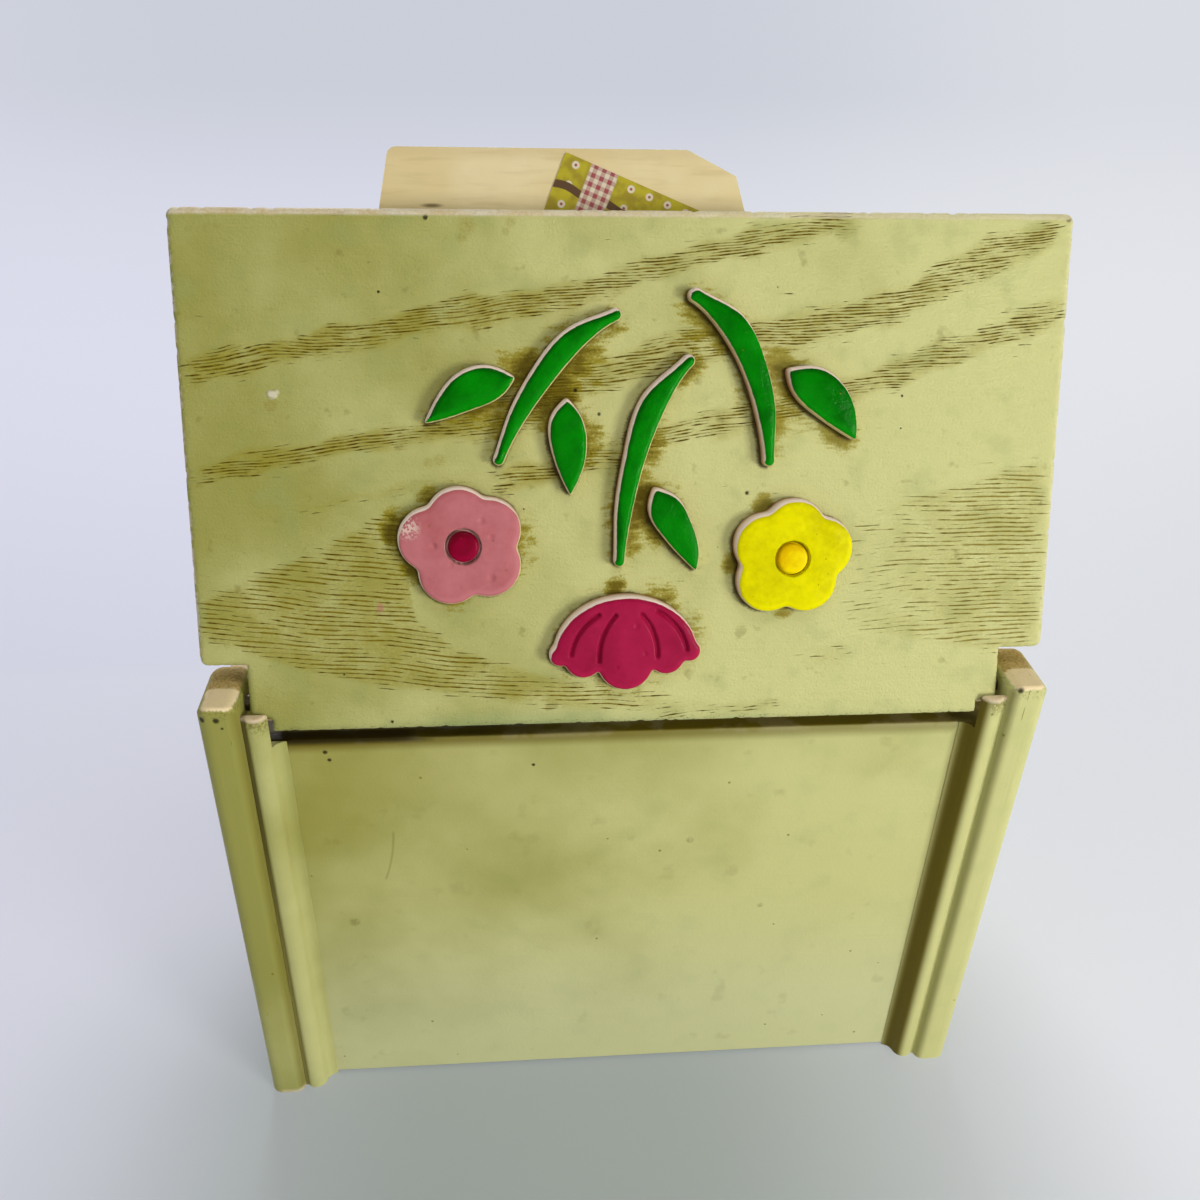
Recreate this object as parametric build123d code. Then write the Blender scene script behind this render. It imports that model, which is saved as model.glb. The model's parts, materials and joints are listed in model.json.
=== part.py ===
from build123d import *
import os

os.makedirs("parts", exist_ok=True)

# A wooden box for recipe cards with a carved, pin-hinged lid.
# Millimetres. X runs across the box, +Y from the hinge side to the front, +Z up.
# Every y named here is measured from the hinge side, and moved to the box's centre at the end.

# Box
box_width = 152.0
box_depth = 91.2
box_height = 105.0  # to the top of the hinge ears
side_thickness = 7.2
panel_thickness = 6.5
panel_recess = 4.4  # from the posts' faces back to a panel's face
panel_foot_gap = 0.8  # the posts carry the box, so the panels stay off the table
bottom_thickness = 4.0
bottom_lift = 2.4
bottom_tongue = 3.0  # how far the bottom enters each groove
panel_tongue = 2.5  # how far a panel's ends enter the side boards
groove_clearance = 0.1

# Lid
lid_thickness = 8.5
lid_side_inset = 0.5
lid_seat_gap = 0.3  # between the shut lid and the side boards
ear_depth = 14.4
notch_gap = 0.8  # between an ear and the lid in front of it
tongue_gap = 1.2  # between an ear and the lid's tongue beside it
pivot_from_back = 7.5
tongue_back = 3.0
lid_corner_radius = 1.5
lid_edge_radius = 1.3
lid_under_radius = 0.8
open_angle = 70.0  # how far the lid stands open, from shut

# Room that the swinging lid needs
swing_clearance = 0.3
ear_front_radius = 2.5
ear_back_radius = 0.8

# Posts: a side board's rounded edge, and beside it a bead that runs out to the panel in a cove
post_outer_radius = 2.6
post_inner_radius = 2.0
bead_width = 4.6
bead_setback = 0.9  # from the post's face to the bead's
bead_quirk_depth = 1.7  # from the post's face to the floor of the groove beside the bead
bead_cove_radius = 2.2
bead_cove_lip = 0.15  # the cove's edge isn't feathered to nothing
bead_below_ear = 3.3
bead_stub_depth = 1.5  # the bead is thinned where the lid's tongue swings past it
bead_side_gap = 0.3  # between the bead and the tongue's relieved corner
bead_top_softening = 0.5
edge_softening = 0.5
overcut = 1.0  # how far a cutting block reaches past what it cuts

# Hinge pins
pin_radius = 1.5
pin_length = 18.0
pin_hole_clearance = 0.06  # radial, in the turning lid
pin_seat_clearance = 0.02  # radial, in the ear that grips the pin
pin_end_gap = 0.5
pin_head_sink = 0.4
pin_chamfer = 0.4

# Card rail and divider card
card_width = 127.0
card_height = 76.2
card_thickness = 0.5
card_corner_radius = 2.5
card_under_lid_gap = 0.5
slot_clearance = 0.1
slot_depth = 3.6
rail_floor = 1.9
rail_lip = 1.6
rail_length = 132.0
rail_panel_gap = 0.5
tab_height = 12.7
tab_left = -43.0
tab_base_width = 64.0
tab_left_slope = 2.4  # how far the tab's left side leans in over its height
tab_corner_radius = 1.6
tab_clip_width = 8.5  # the long clipped corner on the right
tab_clip_height = 4.2
label_side = 50.0
label_thickness = 0.2
label_apex = (-10.8, 0.6)  # the label's top corner: across, and below the tab's top
label_turn = -22.0

# Carved ornament, cut out and glued on the lid. Places are (x, y) on the shut lid.
relief = 3.0
relief_chamfer = 0.4
button_radius = 2.65
button_gap = 0.5
button_seat_depth = 1.0
button_rise = 0.7
button_chamfer = 0.4
carved_groove_width = 0.9
carved_groove_depth = 0.8

# Stems: places along the middle of each stem, with its width there.
stems = {
    "left_stem": (
        (-3.4, 74.3, 2.2),
        (-9.8, 70.8, 4.0),
        (-15.6, 64.4, 4.1),
        (-20.3, 57.0, 3.0),
        (-23.1, 50.6, 2.0),
    ),
    "middle_stem": (
        (9.0, 66.8, 2.2),
        (3.4, 60.3, 4.5),
        (0.0, 51.1, 3.9),
        (-1.9, 42.0, 3.1),
        (-2.7, 33.0, 2.0),
    ),
    "right_stem": (
        (10.0, 77.5, 2.4),
        (15.9, 73.2, 4.5),
        (20.0, 66.3, 4.3),
        (22.4, 58.0, 3.4),
        (23.1, 50.0, 2.0),
    ),
}

# Leaves: two tips, then how far each side bulges at the leaf's stations.
leaf_stations = (0.2, 0.5, 0.8)
leaves = {
    "outer_left_leaf": ((-35.5, 56.6), (-19.9, 64.2), (2.6, 4.9, 4.0), (-0.9, -1.6, -1.7)),
    "inner_left_leaf": ((-11.6, 61.0), (-11.1, 44.2), (2.4, 3.2, 1.9), (-2.9, -3.0, -1.5)),
    "inner_right_leaf": ((3.2, 45.8), (10.8, 30.8), (2.8, 3.1, 2.2), (-2.7, -2.5, -1.2)),
    "outer_right_leaf": ((25.7, 65.5), (38.3, 53.1), (4.0, 5.1, 3.2), (-1.9, -1.9, -0.9)),
}

# Round flowers: centre, then each petal's direction in degrees and its reach.
petal_radius = 5.6
flowers = {
    "pink_flower": ((-29.4, 36.0), ((99, 10.3), (167, 11.3), (243, 10.6), (322, 10.9), (33, 10.7))),
    "yellow_flower": ((27.6, 33.0), ((86, 10.5), (152, 10.8), (224, 11.2), (303, 10.3), (18, 11.1))),
}

# Half flower: a dome over a row of lobes, with grooves fanning down between them.
half_flower_centre = (-1.6, 16.2)
half_flower_dome = (12.8, 10.8)
half_flower_lobes = (
    (-11.5, 0.2, 2.0),
    (-7.4, -0.6, 3.4),
    (0.0, -1.3, 5.0),
    (7.2, -0.2, 3.4),
    (11.4, 0.6, 2.0),
)
half_flower_grooves = (
    ((-4.7, 7.4), (-8.0, 4.4), (-9.6, 0.4)),
    ((-1.8, 7.3), (-4.0, 3.6), (-4.7, -0.9)),
    ((2.8, 7.4), (4.9, 4.0), (5.6, -0.2)),
    ((5.6, 7.8), (9.0, 5.0), (10.8, 0.9)),
)

# Places worked out from the sizes above
half_width = box_width / 2
inner_half_width = half_width - side_thickness
side_top = box_height - lid_thickness - lid_seat_gap
pivot_height = box_height - lid_thickness / 2
notch_line = ear_depth + notch_gap
tongue_half_width = inner_half_width - tongue_gap
lid_half_width = half_width - lid_side_inset
tongue_swing = ((pivot_from_back - tongue_back) ** 2 + (lid_thickness / 2) ** 2) ** 0.5
panel_top = pivot_height - tongue_swing - swing_clearance
panel_back = panel_recess + panel_thickness
bottom_top = bottom_lift + bottom_thickness
bead_inner = inner_half_width - bead_width
bead_radius = bead_width / 2
rail_start = panel_back + rail_panel_gap
card_start = rail_start + rail_floor
card_upper = -lid_thickness / 2 - card_under_lid_gap  # heights from the pivot
card_lower = card_upper - card_thickness


def board(x_range, y_range, z_range):
    """A squared board between two corners."""
    lows, highs = zip(x_range, y_range, z_range)
    size = [high - low for low, high in zip(lows, highs)]
    return Pos(*lows) * Box(*size, align=(Align.MIN, Align.MIN, Align.MIN))


def span(x_range, y_range):
    """A flat rectangle between two corners."""
    lows, highs = zip(x_range, y_range)
    return Pos(*lows) * Rectangle(highs[0] - lows[0], highs[1] - lows[1], align=(Align.MIN, Align.MIN))


def edges_at(solid, axis, **places):
    """The edges along an axis whose middle is at the given x, y or z."""
    middles = {"x": lambda p: p.X, "y": lambda p: p.Y, "z": lambda p: p.Z}

    def there(edge):
        middle = edge.center()
        return all(abs(middles[name](middle) - value) < 0.01 for name, value in places.items())

    return solid.edges().filter_by(axis).filter_by(there)


# Panels and bottom


def panel(face_y, inner_y):
    """A back or front panel, with its ends in the side boards."""
    ends = inner_half_width + panel_tongue
    low, high = sorted((face_y, inner_y))
    plain = board((-ends, ends), (low, high), (panel_foot_gap, panel_top))
    top_edges = edges_at(plain, Axis.X, z=panel_top)
    return fillet(top_edges, edge_softening)


def grown(solid, clearance):
    """A box around a board, larger by the clearance on every side: its housing."""
    room = solid.bounding_box()
    low, high = room.min, room.max
    return board(
        (low.X - clearance, high.X + clearance),
        (low.Y - clearance, high.Y + clearance),
        (low.Z - clearance, high.Z + clearance),
    )


front_face = box_depth - panel_recess
front_inner = front_face - panel_thickness
bottom_half = inner_half_width + bottom_tongue - groove_clearance
bottom_panel = board(
    (-bottom_half, bottom_half),
    (panel_back - bottom_tongue + groove_clearance, front_inner + bottom_tongue - groove_clearance),
    (bottom_lift, bottom_top),
)
bottom_groove = grown(bottom_panel, groove_clearance)
back_panel = panel(panel_recess, panel_back) - bottom_groove
front_panel = panel(front_face, front_inner) - bottom_groove

# Side boards


def side_board():
    """The right-hand side board: ear at the back, rounded post edges, housings for the panels."""
    corners = [
        (0, 0),
        (0, box_height),
        (ear_depth, box_height),
        (ear_depth, side_top),
        (box_depth, side_top),
        (box_depth, 0),
    ]
    outline = make_face(Polyline(*corners, close=True))
    ear_corners = outline.vertices()
    outline = fillet(ear_corners.sort_by_distance((ear_depth, box_height))[0], ear_front_radius)
    outline = fillet(outline.vertices().sort_by_distance((0, box_height))[0], ear_back_radius)
    plain = extrude(Plane.YZ.offset(inner_half_width) * outline, side_thickness)
    for y in (0, box_depth):
        plain = fillet(edges_at(plain, Axis.Z, x=half_width, y=y), post_outer_radius)
        plain = fillet(edges_at(plain, Axis.Z, x=inner_half_width, y=y), post_inner_radius)
    for housed in (back_panel, front_panel):
        plain -= grown(housed, groove_clearance)
    plain -= bottom_groove
    pin_hole = Cylinder(pin_radius + pin_seat_clearance, 2 * side_thickness, rotation=(0, 90, 0))
    plain -= Pos(half_width, pivot_from_back, pivot_height) * pin_hole
    return plain


right_side_board = side_board()
left_side_board = right_side_board.mirror(Plane.YZ)

# Beads between posts and panels


def bead(top, thinned):
    """The bead at the back right corner, with a cove that runs into its round, up to the panel's
    top. Above the panel a thinned bead leaves the lid's tongue room to swing past behind it."""
    middle = (bead_inner + inner_half_width) / 2
    rounding = bead_setback + bead_radius
    section = Pos(middle, rounding) * Circle(bead_radius)
    section &= span((bead_inner, inner_half_width), (0, panel_recess))
    section += span((bead_inner, inner_half_width), (rounding, panel_recess))
    section += span((middle, inner_half_width), (bead_quirk_depth, panel_recess))
    cove_centre = panel_recess - bead_cove_lip - bead_cove_radius
    reach, drop = bead_radius + bead_cove_radius, rounding - cove_centre
    cove_end = middle - (reach**2 - drop**2) ** 0.5
    meeting = rounding - drop * bead_radius / reach
    cove = span((cove_end, middle), (meeting, panel_recess))
    cove -= Pos(cove_end, cove_centre) * Circle(bead_cove_radius)
    solid = extrude(section, top) + extrude(cove, panel_top)
    if thinned:
        solid -= board(
            (bead_inner - overcut, inner_half_width + overcut),
            (bead_setback + bead_stub_depth, panel_recess + overcut),
            (panel_top, top + overcut),
        )
        top_round = solid.faces().sort_by(Axis.Z)[-1].edges().filter_by(GeomType.CIRCLE)
        solid = fillet(top_round, bead_top_softening)
    return solid


back_right_bead = bead(box_height - bead_below_ear, thinned=True)
front_right_bead = bead(side_top, thinned=False).mirror(Plane.XZ.offset(-box_depth / 2))
back_left_bead = back_right_bead.mirror(Plane.YZ)
front_left_bead = front_right_bead.mirror(Plane.YZ)

# Hinge pins


def hinge_pin():
    """The right-hand pin, driven through the ear into the lid's tongue, with both ends chamfered."""
    outer = half_width - pin_head_sink
    shank = Pos(outer - pin_length / 2, 0, 0) * Cylinder(pin_radius, pin_length, rotation=(0, 90, 0))
    shank = chamfer(shank.edges().filter_by(GeomType.CIRCLE), pin_chamfer)
    return Pos(0, pivot_from_back, pivot_height) * shank


right_hinge_pin = hinge_pin()
left_hinge_pin = right_hinge_pin.mirror(Plane.YZ)

# Lid board, shut


def lid_board():
    """A board notched round the ears, with a tongue between them that turns on the pins."""
    relieved = bead_inner - bead_side_gap
    corner_back = pivot_from_back - bead_reach_limit()
    right = [
        (relieved, tongue_back),
        (relieved, corner_back),
        (tongue_half_width, corner_back),
        (tongue_half_width, notch_line),
        (lid_half_width, notch_line),
        (lid_half_width, box_depth),
    ]
    left = [(-x, y) for x, y in reversed(right)]
    outline = make_face(Polyline(*right, *left, close=True))
    for x in (-lid_half_width, lid_half_width):
        for y in (notch_line, box_depth):
            corner = outline.vertices().sort_by_distance((x, y))[0]
            outline = fillet(corner, lid_corner_radius)
    solid = Pos(0, 0, box_height - lid_thickness) * extrude(outline, lid_thickness)
    top = solid.faces().sort_by(Axis.Z)[-1]
    solid = fillet(top.outer_wire().edges(), lid_edge_radius)
    under = solid.faces().sort_by(Axis.Z)[0]
    solid = fillet(under.outer_wire().edges(), lid_under_radius)
    pin_reach = half_width - pin_head_sink - pin_length - pin_end_gap
    for sign in (-1, 1):
        hole_length = tongue_half_width - pin_reach
        hole = Cylinder(pin_radius + pin_hole_clearance, hole_length, rotation=(0, 90, 0))
        solid -= Pos(sign * (pin_reach + hole_length / 2), pivot_from_back, pivot_height) * hole
    return solid


def bead_reach_limit():
    """How far behind the pivot the tongue may reach where it swings past a bead."""
    to_bead = pivot_from_back - bead_setback - bead_stub_depth - swing_clearance
    return (to_bead**2 - (lid_thickness / 2) ** 2) ** 0.5


lid = lid_board()

# Card rail, divider card and its label, shut


def card_rail():
    """A rabbeted strip under the lid: a floor that the card stands on and a lip that holds it."""
    under_lid = -lid_thickness / 2
    slot_far = card_lower - slot_clearance
    lip_far = slot_far - rail_lip
    section = Polyline(
        (rail_start, under_lid),
        (card_start, under_lid),
        (card_start, slot_far),
        (card_start + slot_depth, slot_far),
        (card_start + slot_depth, lip_far),
        (rail_start, lip_far),
        close=True,
    )
    face = make_face(section)
    outer = face.vertices().sort_by_distance((card_start + slot_depth, lip_far))[0]
    face = fillet(outer, edge_softening)
    strip = extrude(Plane.YZ.offset(-rail_length / 2) * face, rail_length)
    return Pos(0, 0, pivot_height) * strip


def divider_card():
    """An index card with a tapered tab, whose right corner is clipped long."""
    top = card_height + tab_height
    left, right = tab_left, tab_left + tab_base_width
    body = span((-card_width / 2, card_width / 2), (0, card_height))
    body = fillet(body.vertices(), card_corner_radius)
    tab = make_face(
        Polyline(
            (left, card_height - tab_height / 2),
            (left, card_height),
            (left + tab_left_slope, top),
            (right - tab_left_slope - tab_clip_width, top),
            (right - tab_left_slope, top - tab_clip_height),
            (right, card_height),
            (right, card_height - tab_height / 2),
            close=True,
        )
    )
    for x, y in ((left + tab_left_slope, top), (right - tab_left_slope - tab_clip_width, top)):
        tab = fillet(tab.vertices().sort_by_distance((x, y))[0], tab_corner_radius)
    sheet = extrude(body + tab, card_thickness)
    return Pos(0, card_start, pivot_height + card_lower) * sheet


def divider_label():
    """A square label glued turned on the card, with one corner showing on the tab."""
    square = Rectangle(label_side, label_side, align=(Align.MIN, Align.MAX))
    square = fillet(square.vertices(), edge_softening)
    across, below = label_apex
    top = card_start + card_height + tab_height - below
    sheet = extrude(Rot(0, 0, label_turn) * square, label_thickness)
    return Pos(across, top, pivot_height + card_upper) * sheet


# Carved ornament, shut


def raised(outline):
    """An outline cut out of relief-thick wood, with its shoulders eased."""
    solid = extrude(outline, relief)
    top = solid.faces().sort_by(Axis.Z)[-1]
    solid = chamfer(top.outer_wire().edges(), relief_chamfer)
    return Pos(0, 0, box_height) * solid


def stem(stations):
    """A curved band that tapers to rounded ends."""
    middle = Spline(*[(x, y) for x, y, _ in stations])
    left, right = [], []
    for step, (x, y, width) in enumerate(stations):
        along = middle.tangent_at(Vector(x, y))
        across = Vector(-along.Y, along.X) * (width / 2)
        left.append(Vector(x, y) + across)
        right.append(Vector(x, y) - across)
    setting_off, arriving = middle % 0, middle % 1
    first_tip = middle @ 0 - setting_off * (stations[0][2] / 2)
    last_tip = middle @ 1 + arriving * (stations[-1][2] / 2)
    outline = Curve() + [
        Spline(*left, tangents=(setting_off, arriving)),
        ThreePointArc(left[-1], last_tip, right[-1]),
        Spline(*right, tangents=(setting_off, arriving)),
        ThreePointArc(right[0], first_tip, left[0]),
    ]
    return raised(make_face(outline))


def leaf(tip, tail, left_bulges, right_bulges):
    """A leaf between two tips, each side a smooth curve through its stations."""
    start, end = Vector(*tip), Vector(*tail)
    along = end - start
    across = Vector(-along.Y, along.X).normalized()

    def side(bulges):
        between = [start + along * share + across * out for share, out in zip(leaf_stations, bulges)]
        return Spline(start, *between, end)

    return raised(make_face(Curve() + [side(left_bulges), side(right_bulges)]))


def round_flower(centre, petals):
    """Overlapping round petals, with a seat for the button in the middle."""
    outline = Circle(petal_radius)
    for direction, reach in petals:
        outline += Rot(0, 0, direction) * Pos(reach - petal_radius, 0) * Circle(petal_radius)
    flower = Pos(*centre, 0) * raised(outline)
    seat_depth = Pos(*centre, box_height + relief - button_seat_depth)
    seat = Cylinder(button_radius + button_gap, relief, align=(Align.CENTER, Align.CENTER, Align.MIN))
    return flower - seat_depth * seat


def button(centre):
    """A round button with an eased edge, standing in the flower's seat."""
    low = box_height + relief - button_seat_depth
    height = button_seat_depth + button_rise
    solid = Cylinder(button_radius, height, align=(Align.CENTER, Align.CENTER, Align.MIN))
    rim = solid.edges().filter_by(GeomType.CIRCLE).sort_by(Axis.Z)[-1]
    return Pos(*centre, low) * chamfer(rim, button_chamfer)


def half_flower():
    """A dome over a row of lobes, with carved grooves fanning down to the gaps between lobes."""
    across, up = half_flower_dome
    upper_half = Pos(0, up) * Rectangle(3 * across, 2 * up)
    outline = Ellipse(across, up) & upper_half
    for x, y, radius in half_flower_lobes:
        outline += Pos(x, y) * Circle(radius)
    solid = raised(outline)
    for start, middle, end in half_flower_grooves:
        line = ThreePointArc(start, middle, end)
        groove = extrude(trace(line, carved_groove_width), relief)
        solid -= Pos(0, 0, box_height + relief - carved_groove_depth) * groove
    return Pos(*half_flower_centre, 0) * solid


# The lid and all that rides on it are made shut, then swung open about the pins
hinge_axis = Axis((0, pivot_from_back, pivot_height), (1, 0, 0))

standing = {
    "left_side_board": left_side_board,
    "right_side_board": right_side_board,
    "back_panel": back_panel,
    "front_panel": front_panel,
    "bottom_panel": bottom_panel,
    "back_left_bead": back_left_bead,
    "back_right_bead": back_right_bead,
    "front_left_bead": front_left_bead,
    "front_right_bead": front_right_bead,
    "left_hinge_pin": left_hinge_pin,
    "right_hinge_pin": right_hinge_pin,
}
swinging = {
    "lid_board": lid,
    "card_rail": card_rail(),
    "divider_card": divider_card(),
    "divider_label": divider_label(),
    "half_flower": half_flower(),
}
for name, stations in stems.items():
    swinging[name] = stem(stations)
for name, shape in leaves.items():
    swinging[name] = leaf(*shape)
for name, (centre, petals) in flowers.items():
    swinging[name] = round_flower(centre, petals)
    swinging[name + "_button"] = button(centre)

nodes = dict(standing)
for name, solid in swinging.items():
    nodes[name] = solid.rotate(hinge_axis, open_angle)

for name, solid in nodes.items():
    export_step(Pos(0, -box_depth / 2, 0) * solid, f"parts/{name}.step")
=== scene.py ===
import json
import math

import bpy
import numpy as np
from mathutils import Matrix, Vector
from mathutils.geometry import delaunay_2d_cdt


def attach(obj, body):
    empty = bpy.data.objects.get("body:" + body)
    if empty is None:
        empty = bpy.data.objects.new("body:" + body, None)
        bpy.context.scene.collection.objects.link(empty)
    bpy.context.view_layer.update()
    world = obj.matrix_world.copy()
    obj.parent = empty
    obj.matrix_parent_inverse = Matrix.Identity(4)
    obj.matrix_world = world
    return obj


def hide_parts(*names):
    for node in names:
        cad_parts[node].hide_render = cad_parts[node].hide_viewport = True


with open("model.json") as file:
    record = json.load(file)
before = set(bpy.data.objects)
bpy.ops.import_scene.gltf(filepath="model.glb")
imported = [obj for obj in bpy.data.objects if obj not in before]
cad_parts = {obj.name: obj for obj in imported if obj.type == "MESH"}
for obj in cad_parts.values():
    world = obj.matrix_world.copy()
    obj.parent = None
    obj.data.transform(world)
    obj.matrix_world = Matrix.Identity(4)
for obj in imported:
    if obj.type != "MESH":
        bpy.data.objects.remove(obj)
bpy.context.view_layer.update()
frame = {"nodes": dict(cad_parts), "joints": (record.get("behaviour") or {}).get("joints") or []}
mm = 0.001
nodes = frame["nodes"]
print("frame loaded:", len(nodes), "nodes")


# Camera, floor and lamps

camera = {
    "place": (-21.15, -200.87, 220.61),  # mm
    "turnedDown": 31.419,  # degrees
    "turnedRight": 5.273,
    "rolled": -1.64,
    "lens": 33.15,
    "sensor": 36.0,
}


def setCamera(look):
    down, side, roll = (math.radians(look[key]) for key in ("turnedDown", "turnedRight", "rolled"))
    ahead = Vector((math.sin(side) * math.cos(down), math.cos(side) * math.cos(down), -math.sin(down)))
    across = Vector((math.cos(side), -math.sin(side), 0))
    under = ahead.cross(across)
    rolledAcross = across * math.cos(roll) + under * math.sin(roll)
    rolledUnder = under * math.cos(roll) - across * math.sin(roll)
    data = bpy.data.cameras.new("camera")
    data.lens, data.sensor_width = look["lens"], look["sensor"]
    data.sensor_fit = "HORIZONTAL"
    data.clip_start, data.clip_end = 0.01, 20
    cam = bpy.data.objects.new("camera", data)
    turn = Matrix((rolledAcross, -rolledUnder, -ahead)).transposed().to_4x4()
    cam.matrix_world = Matrix.Translation(Vector(look["place"]) * mm) @ turn
    bpy.context.scene.collection.objects.link(cam)
    bpy.context.scene.camera = cam


setCamera(camera)
print("camera set")

lamps = {  # where it stands and what it faces, in metres, then its side, watts and colour
    "rightLamp": ((0.45, -0.5, 0.21), (0.0, -0.03, 0.09), 0.2, 2.3, (1.0, 0.98, 0.93)),
    "topLamp": ((0.12, -0.3, 0.8), (0.0, 0.0, 0.08), 0.22, 1.0, (1.0, 0.99, 0.97)),
    "backLamp": ((-0.05, 0.75, 0.6), (0.0, 0.0, 0.08), 0.45, 5.0, (0.97, 0.98, 1.0)),
    "frontLamp": ((0.1, -0.95, 0.16), (0.0, 0.0, 0.08), 0.5, 0.4, (1.0, 0.99, 0.97)),
    "leftLamp": ((-0.7, -0.5, 0.45), (0.0, 0.0, 0.08), 0.5, 0.9, (1.0, 0.99, 0.98)),
}
roomLight = {"colour": (0.95, 0.96, 1.0), "strength": 0.27}


def setLamp(name, place, aim, side, watts, colour):
    data = bpy.data.lights.new(name, "AREA")
    data.shape = "SQUARE"
    data.size, data.energy, data.color = side, watts, colour
    lamp = bpy.data.objects.new(name, data)
    lamp.location = place
    lamp.rotation_mode = "QUATERNION"
    lamp.rotation_quaternion = (Vector(aim) - Vector(place)).to_track_quat("-Z", "Y")
    bpy.context.scene.collection.objects.link(lamp)


for lampName, lampLook in lamps.items():
    setLamp(lampName, *lampLook)
bpy.context.scene.view_settings.view_transform = "Standard"


# Shader sums are written as plain sums on wires


def tone(red, green, blue):
    # screen colour, 0 to 255, as the linear colour a shader takes
    def linear(value):
        share = value / 255
        return share / 12.92 if share <= 0.04045 else ((share + 0.055) / 1.055) ** 2.4

    return (linear(red), linear(green), linear(blue), 1.0)


def sumOf(operation, swapped=False):
    def apply(self, other):
        return self.sum(operation, *((other, self) if swapped else (self, other)))

    return apply


class Wire:
    def __init__(self, finish, socket):
        self.finish = finish
        self.socket = socket

    def sum(self, operation, *values):
        def isNumber(value):
            return isinstance(value, (int, float))

        def isFlat(value):
            return isNumber(value) or isinstance(value, Wire) and value.socket.type == "VALUE"

        flat = all(isFlat(value) for value in values)
        if not flat:
            values = [(value,) * 3 if isNumber(value) else value for value in values]
        kind = "ShaderNodeMath" if flat else "ShaderNodeVectorMath"
        return self.finish.node(kind, {"operation": operation}, dict(enumerate(values)))

    __add__, __radd__ = sumOf("ADD"), sumOf("ADD", swapped=True)
    __sub__, __rsub__ = sumOf("SUBTRACT"), sumOf("SUBTRACT", swapped=True)
    __mul__, __rmul__ = sumOf("MULTIPLY"), sumOf("MULTIPLY", swapped=True)
    __truediv__, __rtruediv__ = sumOf("DIVIDE"), sumOf("DIVIDE", swapped=True)
    atMost, atLeast = sumOf("MINIMUM"), sumOf("MAXIMUM")

    def __abs__(self):
        return self.sum("ABSOLUTE", self)

    def fraction(self):
        return self.sum("FRACT", self)

    def between(self, low, high):
        # 0 at low, 1 at high, eased in between
        ease = {"interpolation_type": "SMOOTHSTEP"}
        return self.finish.node("ShaderNodeMapRange", ease, {0: self, 1: low, 2: high, 3: 0.0, 4: 1.0})


class Finish:
    def __init__(self, name):
        self.material = bpy.data.materials.new(name)
        self.material.use_nodes = True
        self.tree = self.material.node_tree
        self.tree.nodes.clear()
        self.colour = None

    def node(self, kind, settings=None, values=None, output=0):
        made = self.tree.nodes.new(kind)
        for key, setting in (settings or {}).items():
            setattr(made, key, setting)
        for key, value in (values or {}).items():
            if isinstance(value, Wire):
                self.tree.links.new(value.socket, made.inputs[key])
            else:
                made.inputs[key].default_value = value
        return Wire(self, made.outputs[output]) if made.outputs else None

    def plan(self, origin=(0, 0, 0), turn=0.0):
        # a point of the object at rest, in mm, from an origin in metres and turned about X
        point = self.node("ShaderNodeTexCoord", output=3)
        frameOf = {"Vector": point, "Location": origin, "Rotation": (turn, 0, 0), "Scale": (mm, mm, mm)}
        return self.node("ShaderNodeMapping", {"vector_type": "TEXTURE"}, frameOf)

    def parts(self, point):
        split = self.node("ShaderNodeSeparateXYZ", values={0: point})
        return [Wire(self, socket) for socket in split.socket.node.outputs]

    def read(self, name):
        return self.node("ShaderNodeAttribute", {"attribute_name": name}, output=2)

    def noise(self, point, size, detail=2.0, rough=0.5, stretch=None, twist=0.0):
        if stretch:
            point = point * stretch
        values = {"Vector": point, "Scale": 1 / size, "Detail": detail}
        values.update(Roughness=rough, Distortion=twist)
        return self.node("ShaderNodeTexNoise", values=values)

    def cells(self, point, size):
        return self.node("ShaderNodeTexVoronoi", values={"Vector": point, "Scale": 1 / size})

    def blend(self, share, under, over):
        # inputs 6 and 7 and output 2 are the node's colours
        return self.node("ShaderNodeMix", {"data_type": "RGBA"}, {0: share, 6: under, 7: over}, 2)

    def coat(self, share, over):
        # one more layer over the colour that is there
        self.colour = self.blend(share, self.colour, over)

    def spot(self, point, centre, radius, soft, squeeze=None):
        # 1 inside a round mark, 0 outside it
        offset = point - centre
        if squeeze:
            offset = offset * squeeze
        away = offset.sum("LENGTH", offset)
        return Wire(self, away.socket.node.outputs["Value"]).between(radius + soft, radius - soft)

    def spots(self, point, places):
        # several round marks at once: x, y, z, radius, then how soft the edge is, where it has its own
        total = None
        for x, y, z, radius, *soft in places:
            mark = self.spot(point, (x, y, z), radius, *(soft or [radius * 0.45]))
            total = mark if total is None else total.atLeast(mark)
        return total

    def surface(self, roughness, height, depth, **fixed):
        bump = self.node("ShaderNodeBump", values={"Distance": depth * mm, "Height": height})
        values = {"Base Color": self.colour, "Roughness": roughness, "Normal": bump}
        for key, value in fixed.items():
            values[key.replace("_", " ")] = value
        shader = self.node("ShaderNodeBsdfPrincipled", values=values)
        self.node("ShaderNodeOutputMaterial", values={"Surface": shader})
        return self.material


def dress(material, *objects):
    for obj in objects:
        obj.data.materials.clear()
        obj.data.materials.append(material)


# Floor, swept up behind

floorLook = {
    "reach": 5.0,  # metres to each side
    "back": 4.6,  # where it starts to rise
    "rise": 1.2,
    "seam": 0.118,  # where the table's tone changes, metres behind the box's middle
    "seamSoftness": 0.006,
    "near": tone(196, 199, 203),
    "nearRight": tone(180, 182, 184),
    "far": tone(222, 223, 236),
    "wall": tone(220, 221, 236),
    "shade": tone(154, 164, 156),
    "distance": tone(204, 208, 218),
    "glow": tone(228, 230, 235),
}


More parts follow.
